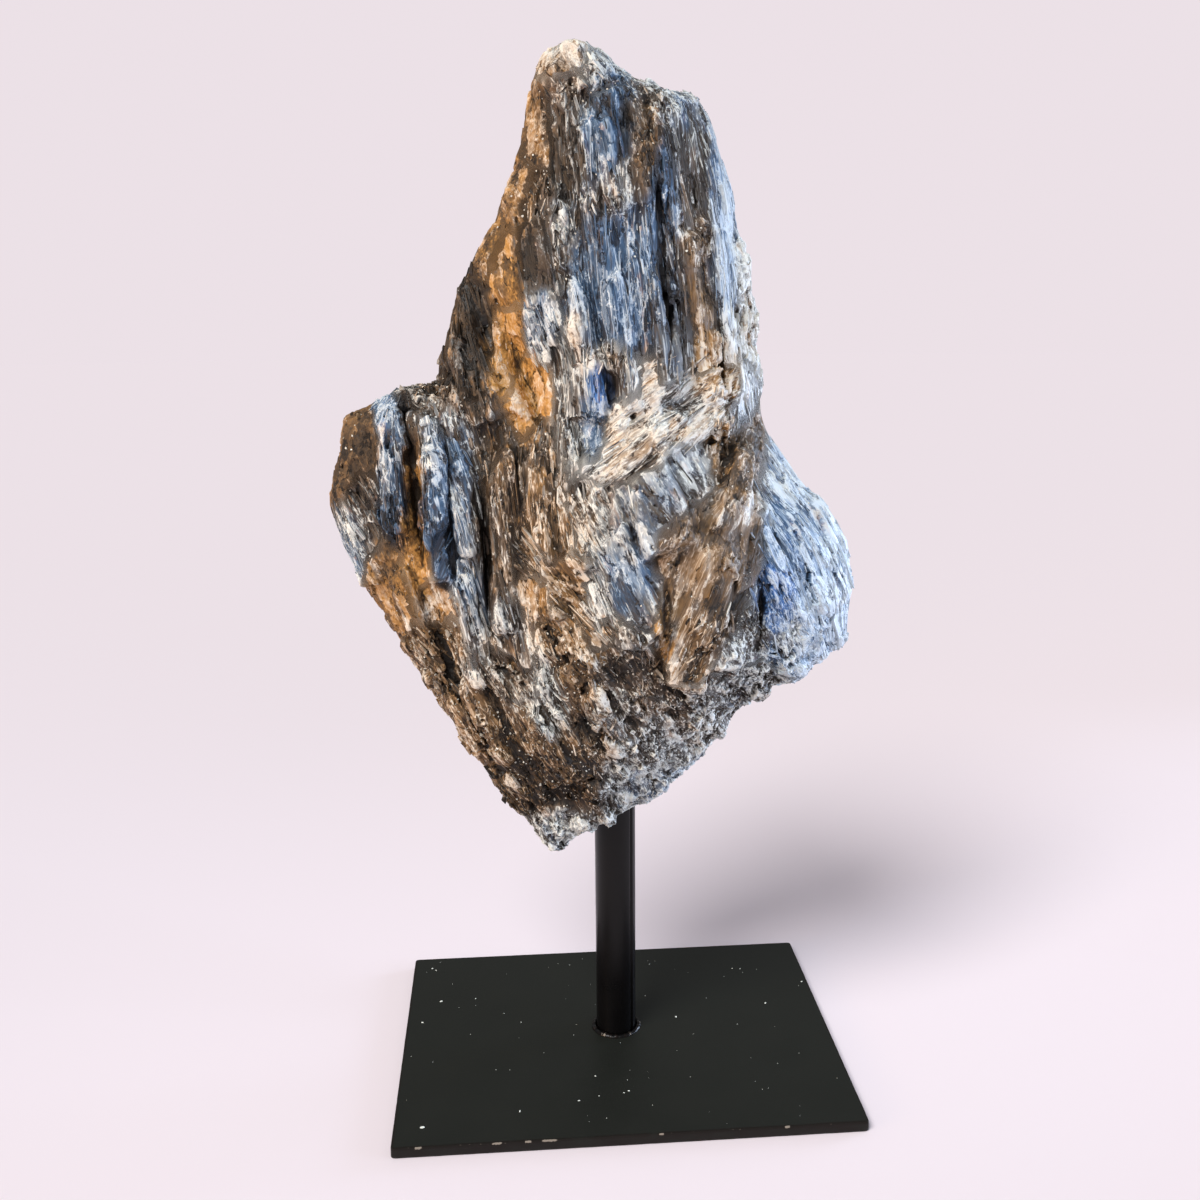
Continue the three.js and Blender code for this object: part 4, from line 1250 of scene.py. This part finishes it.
class KYANITE_OT_stage(bpy.types.Operator):
    """Set up the paper floor, the soft light and the camera"""

    bl_idname = "kyanite.stage"
    bl_label = "Stage"

    def execute(self, context):
        stage = context.scene.kyanite_stage
        scene = context.scene
        self.camera(scene, stage)
        self.floor(scene, stage)
        self.world(scene, stage)
        self.lights(scene)
        scene.view_settings.view_transform = "Standard"
        return {"FINISHED"}

    def camera(self, scene, stage):
        camera = bpy.data.cameras.new("camera")
        camera.lens = stage.lens
        camera.sensor_width = SENSOR_WIDTH
        camera.clip_start = 0.01
        eye = bpy.data.objects.new("camera", camera)
        turn, dip, roll = (math.radians(a) for a in (CAMERA_TURN, CAMERA_DIP, CAMERA_ROLL))
        look = Vector((-math.sin(turn) * math.cos(dip), math.cos(turn) * math.cos(dip), -math.sin(dip)))
        level = Vector((math.cos(turn), math.sin(turn), 0))
        up = level.cross(look)
        right = math.cos(roll) * level + math.sin(roll) * up
        up = right.cross(look)
        basis = Matrix((right, up, -look)).transposed().to_4x4()
        eye.matrix_world = Matrix.Translation(Vector(CAMERA_PLACE) * MM) @ basis
        scene.collection.objects.link(eye)
        scene.camera = eye

    def floor(self, scene, stage):
        turn = np.linspace(0, 2 * math.pi, FLOOR_SIDES, endpoint=False)
        points = [(FLOOR_REACH * math.cos(a), FLOOR_REACH * math.sin(a), 0) for a in turn]
        mesh = bpy.data.meshes.new("paper_floor")
        mesh.from_pydata(points, [], [list(range(len(points)))])
        # Uncoated paper, matt without any sheen, so the floor stays an even pale tone
        material, tree = new_material("paper_matt")
        end_in_surface(tree, {"Base Color": (*stage.paper, 1), "Roughness": 0.95, "Specular IOR Level": 0.0})
        mesh.materials.append(material)
        floor = bpy.data.objects.new("paper_floor", mesh)
        scene.collection.objects.link(floor)

    def world(self, scene, stage):
        world = bpy.data.worlds.new("studio")
        world.use_nodes = True
        tree = world.node_tree
        tree.nodes.clear()
        seen = add_node(tree, "ShaderNodeLightPath", output="Is Camera Ray")
        ambient = add_node(tree, "ShaderNodeBackground", {"Color": (1, 1, 1, 1), "Strength": AMBIENT})
        paper = add_node(tree, "ShaderNodeBackground", {"Color": (*stage.paper, 1), "Strength": PAPER_GLOW})
        both = add_node(tree, "ShaderNodeMixShader", {0: seen, 1: ambient, 2: paper})
        add_node(tree, "ShaderNodeOutputWorld", {"Surface": both})
        scene.world = world

    def lights(self, scene):
        sun = bpy.data.lights.new("key", "SUN")
        sun.energy = KEY_POWER
        sun.angle = math.radians(KEY_SPREAD)
        key = bpy.data.objects.new("key", sun)
        key.rotation_euler = Vector(KEY_WAY).to_track_quat("-Z", "Y").to_euler()
        scene.collection.objects.link(key)
        for name, place, target, size, power, code in SIDE_LIGHTS:
            light = bpy.data.lights.new(name, "AREA")
            light.size = size
            light.energy = power
            light.color = linear(code)
            light.spread = math.radians(SIDE_SPREAD)
            lamp = bpy.data.objects.new(name, light)
            lamp.location = place
            lamp.visible_camera = False
            lamp.rotation_euler = (Vector(target) - Vector(place)).to_track_quat("-Z", "Y").to_euler()
            scene.collection.objects.link(lamp)


class KYANITE_PT_panel(bpy.types.Panel):
    """The specimen's settings and its steps"""

    bl_idname = "KYANITE_PT_panel"
    bl_label = "Kyanite"
    bl_space_type = "VIEW_3D"
    bl_region_type = "UI"
    bl_category = "Kyanite"

    def draw(self, context):
        scene = context.scene
        for settings in (scene.kyanite_stone, scene.kyanite_stand, scene.kyanite_stage):
            box = self.layout.box()
            for name in settings.__annotations__:
                box.prop(settings, name)
        for step in STEPS:
            self.layout.operator(step.bl_idname)


STEPS = (
    KYANITE_OT_rock, KYANITE_OT_shards, KYANITE_OT_blades, KYANITE_OT_splinters, KYANITE_OT_mica,
    KYANITE_OT_plate, KYANITE_OT_post, KYANITE_OT_dust, KYANITE_OT_stage,
)
CLASSES = (StoneSettings, StandSettings, StageSettings, *STEPS, KYANITE_PT_panel)


def register():
    for cls in CLASSES:
        bpy.utils.register_class(cls)
    bpy.types.Scene.kyanite_stone = PointerProperty(type=StoneSettings)
    bpy.types.Scene.kyanite_stand = PointerProperty(type=StandSettings)
    bpy.types.Scene.kyanite_stage = PointerProperty(type=StageSettings)


def unregister():
    del bpy.types.Scene.kyanite_stage
    del bpy.types.Scene.kyanite_stand
    del bpy.types.Scene.kyanite_stone
    for cls in reversed(CLASSES):
        bpy.utils.unregister_class(cls)


def main():
    register()
    bpy.ops.kyanite.rock()
    bpy.ops.kyanite.shards()
    bpy.ops.kyanite.blades()
    bpy.ops.kyanite.splinters()
    bpy.ops.kyanite.mica()
    bpy.ops.kyanite.plate()
    bpy.ops.kyanite.post()
    bpy.ops.kyanite.dust()
    bpy.ops.kyanite.stage()


if __name__ == "__main__":
    main()
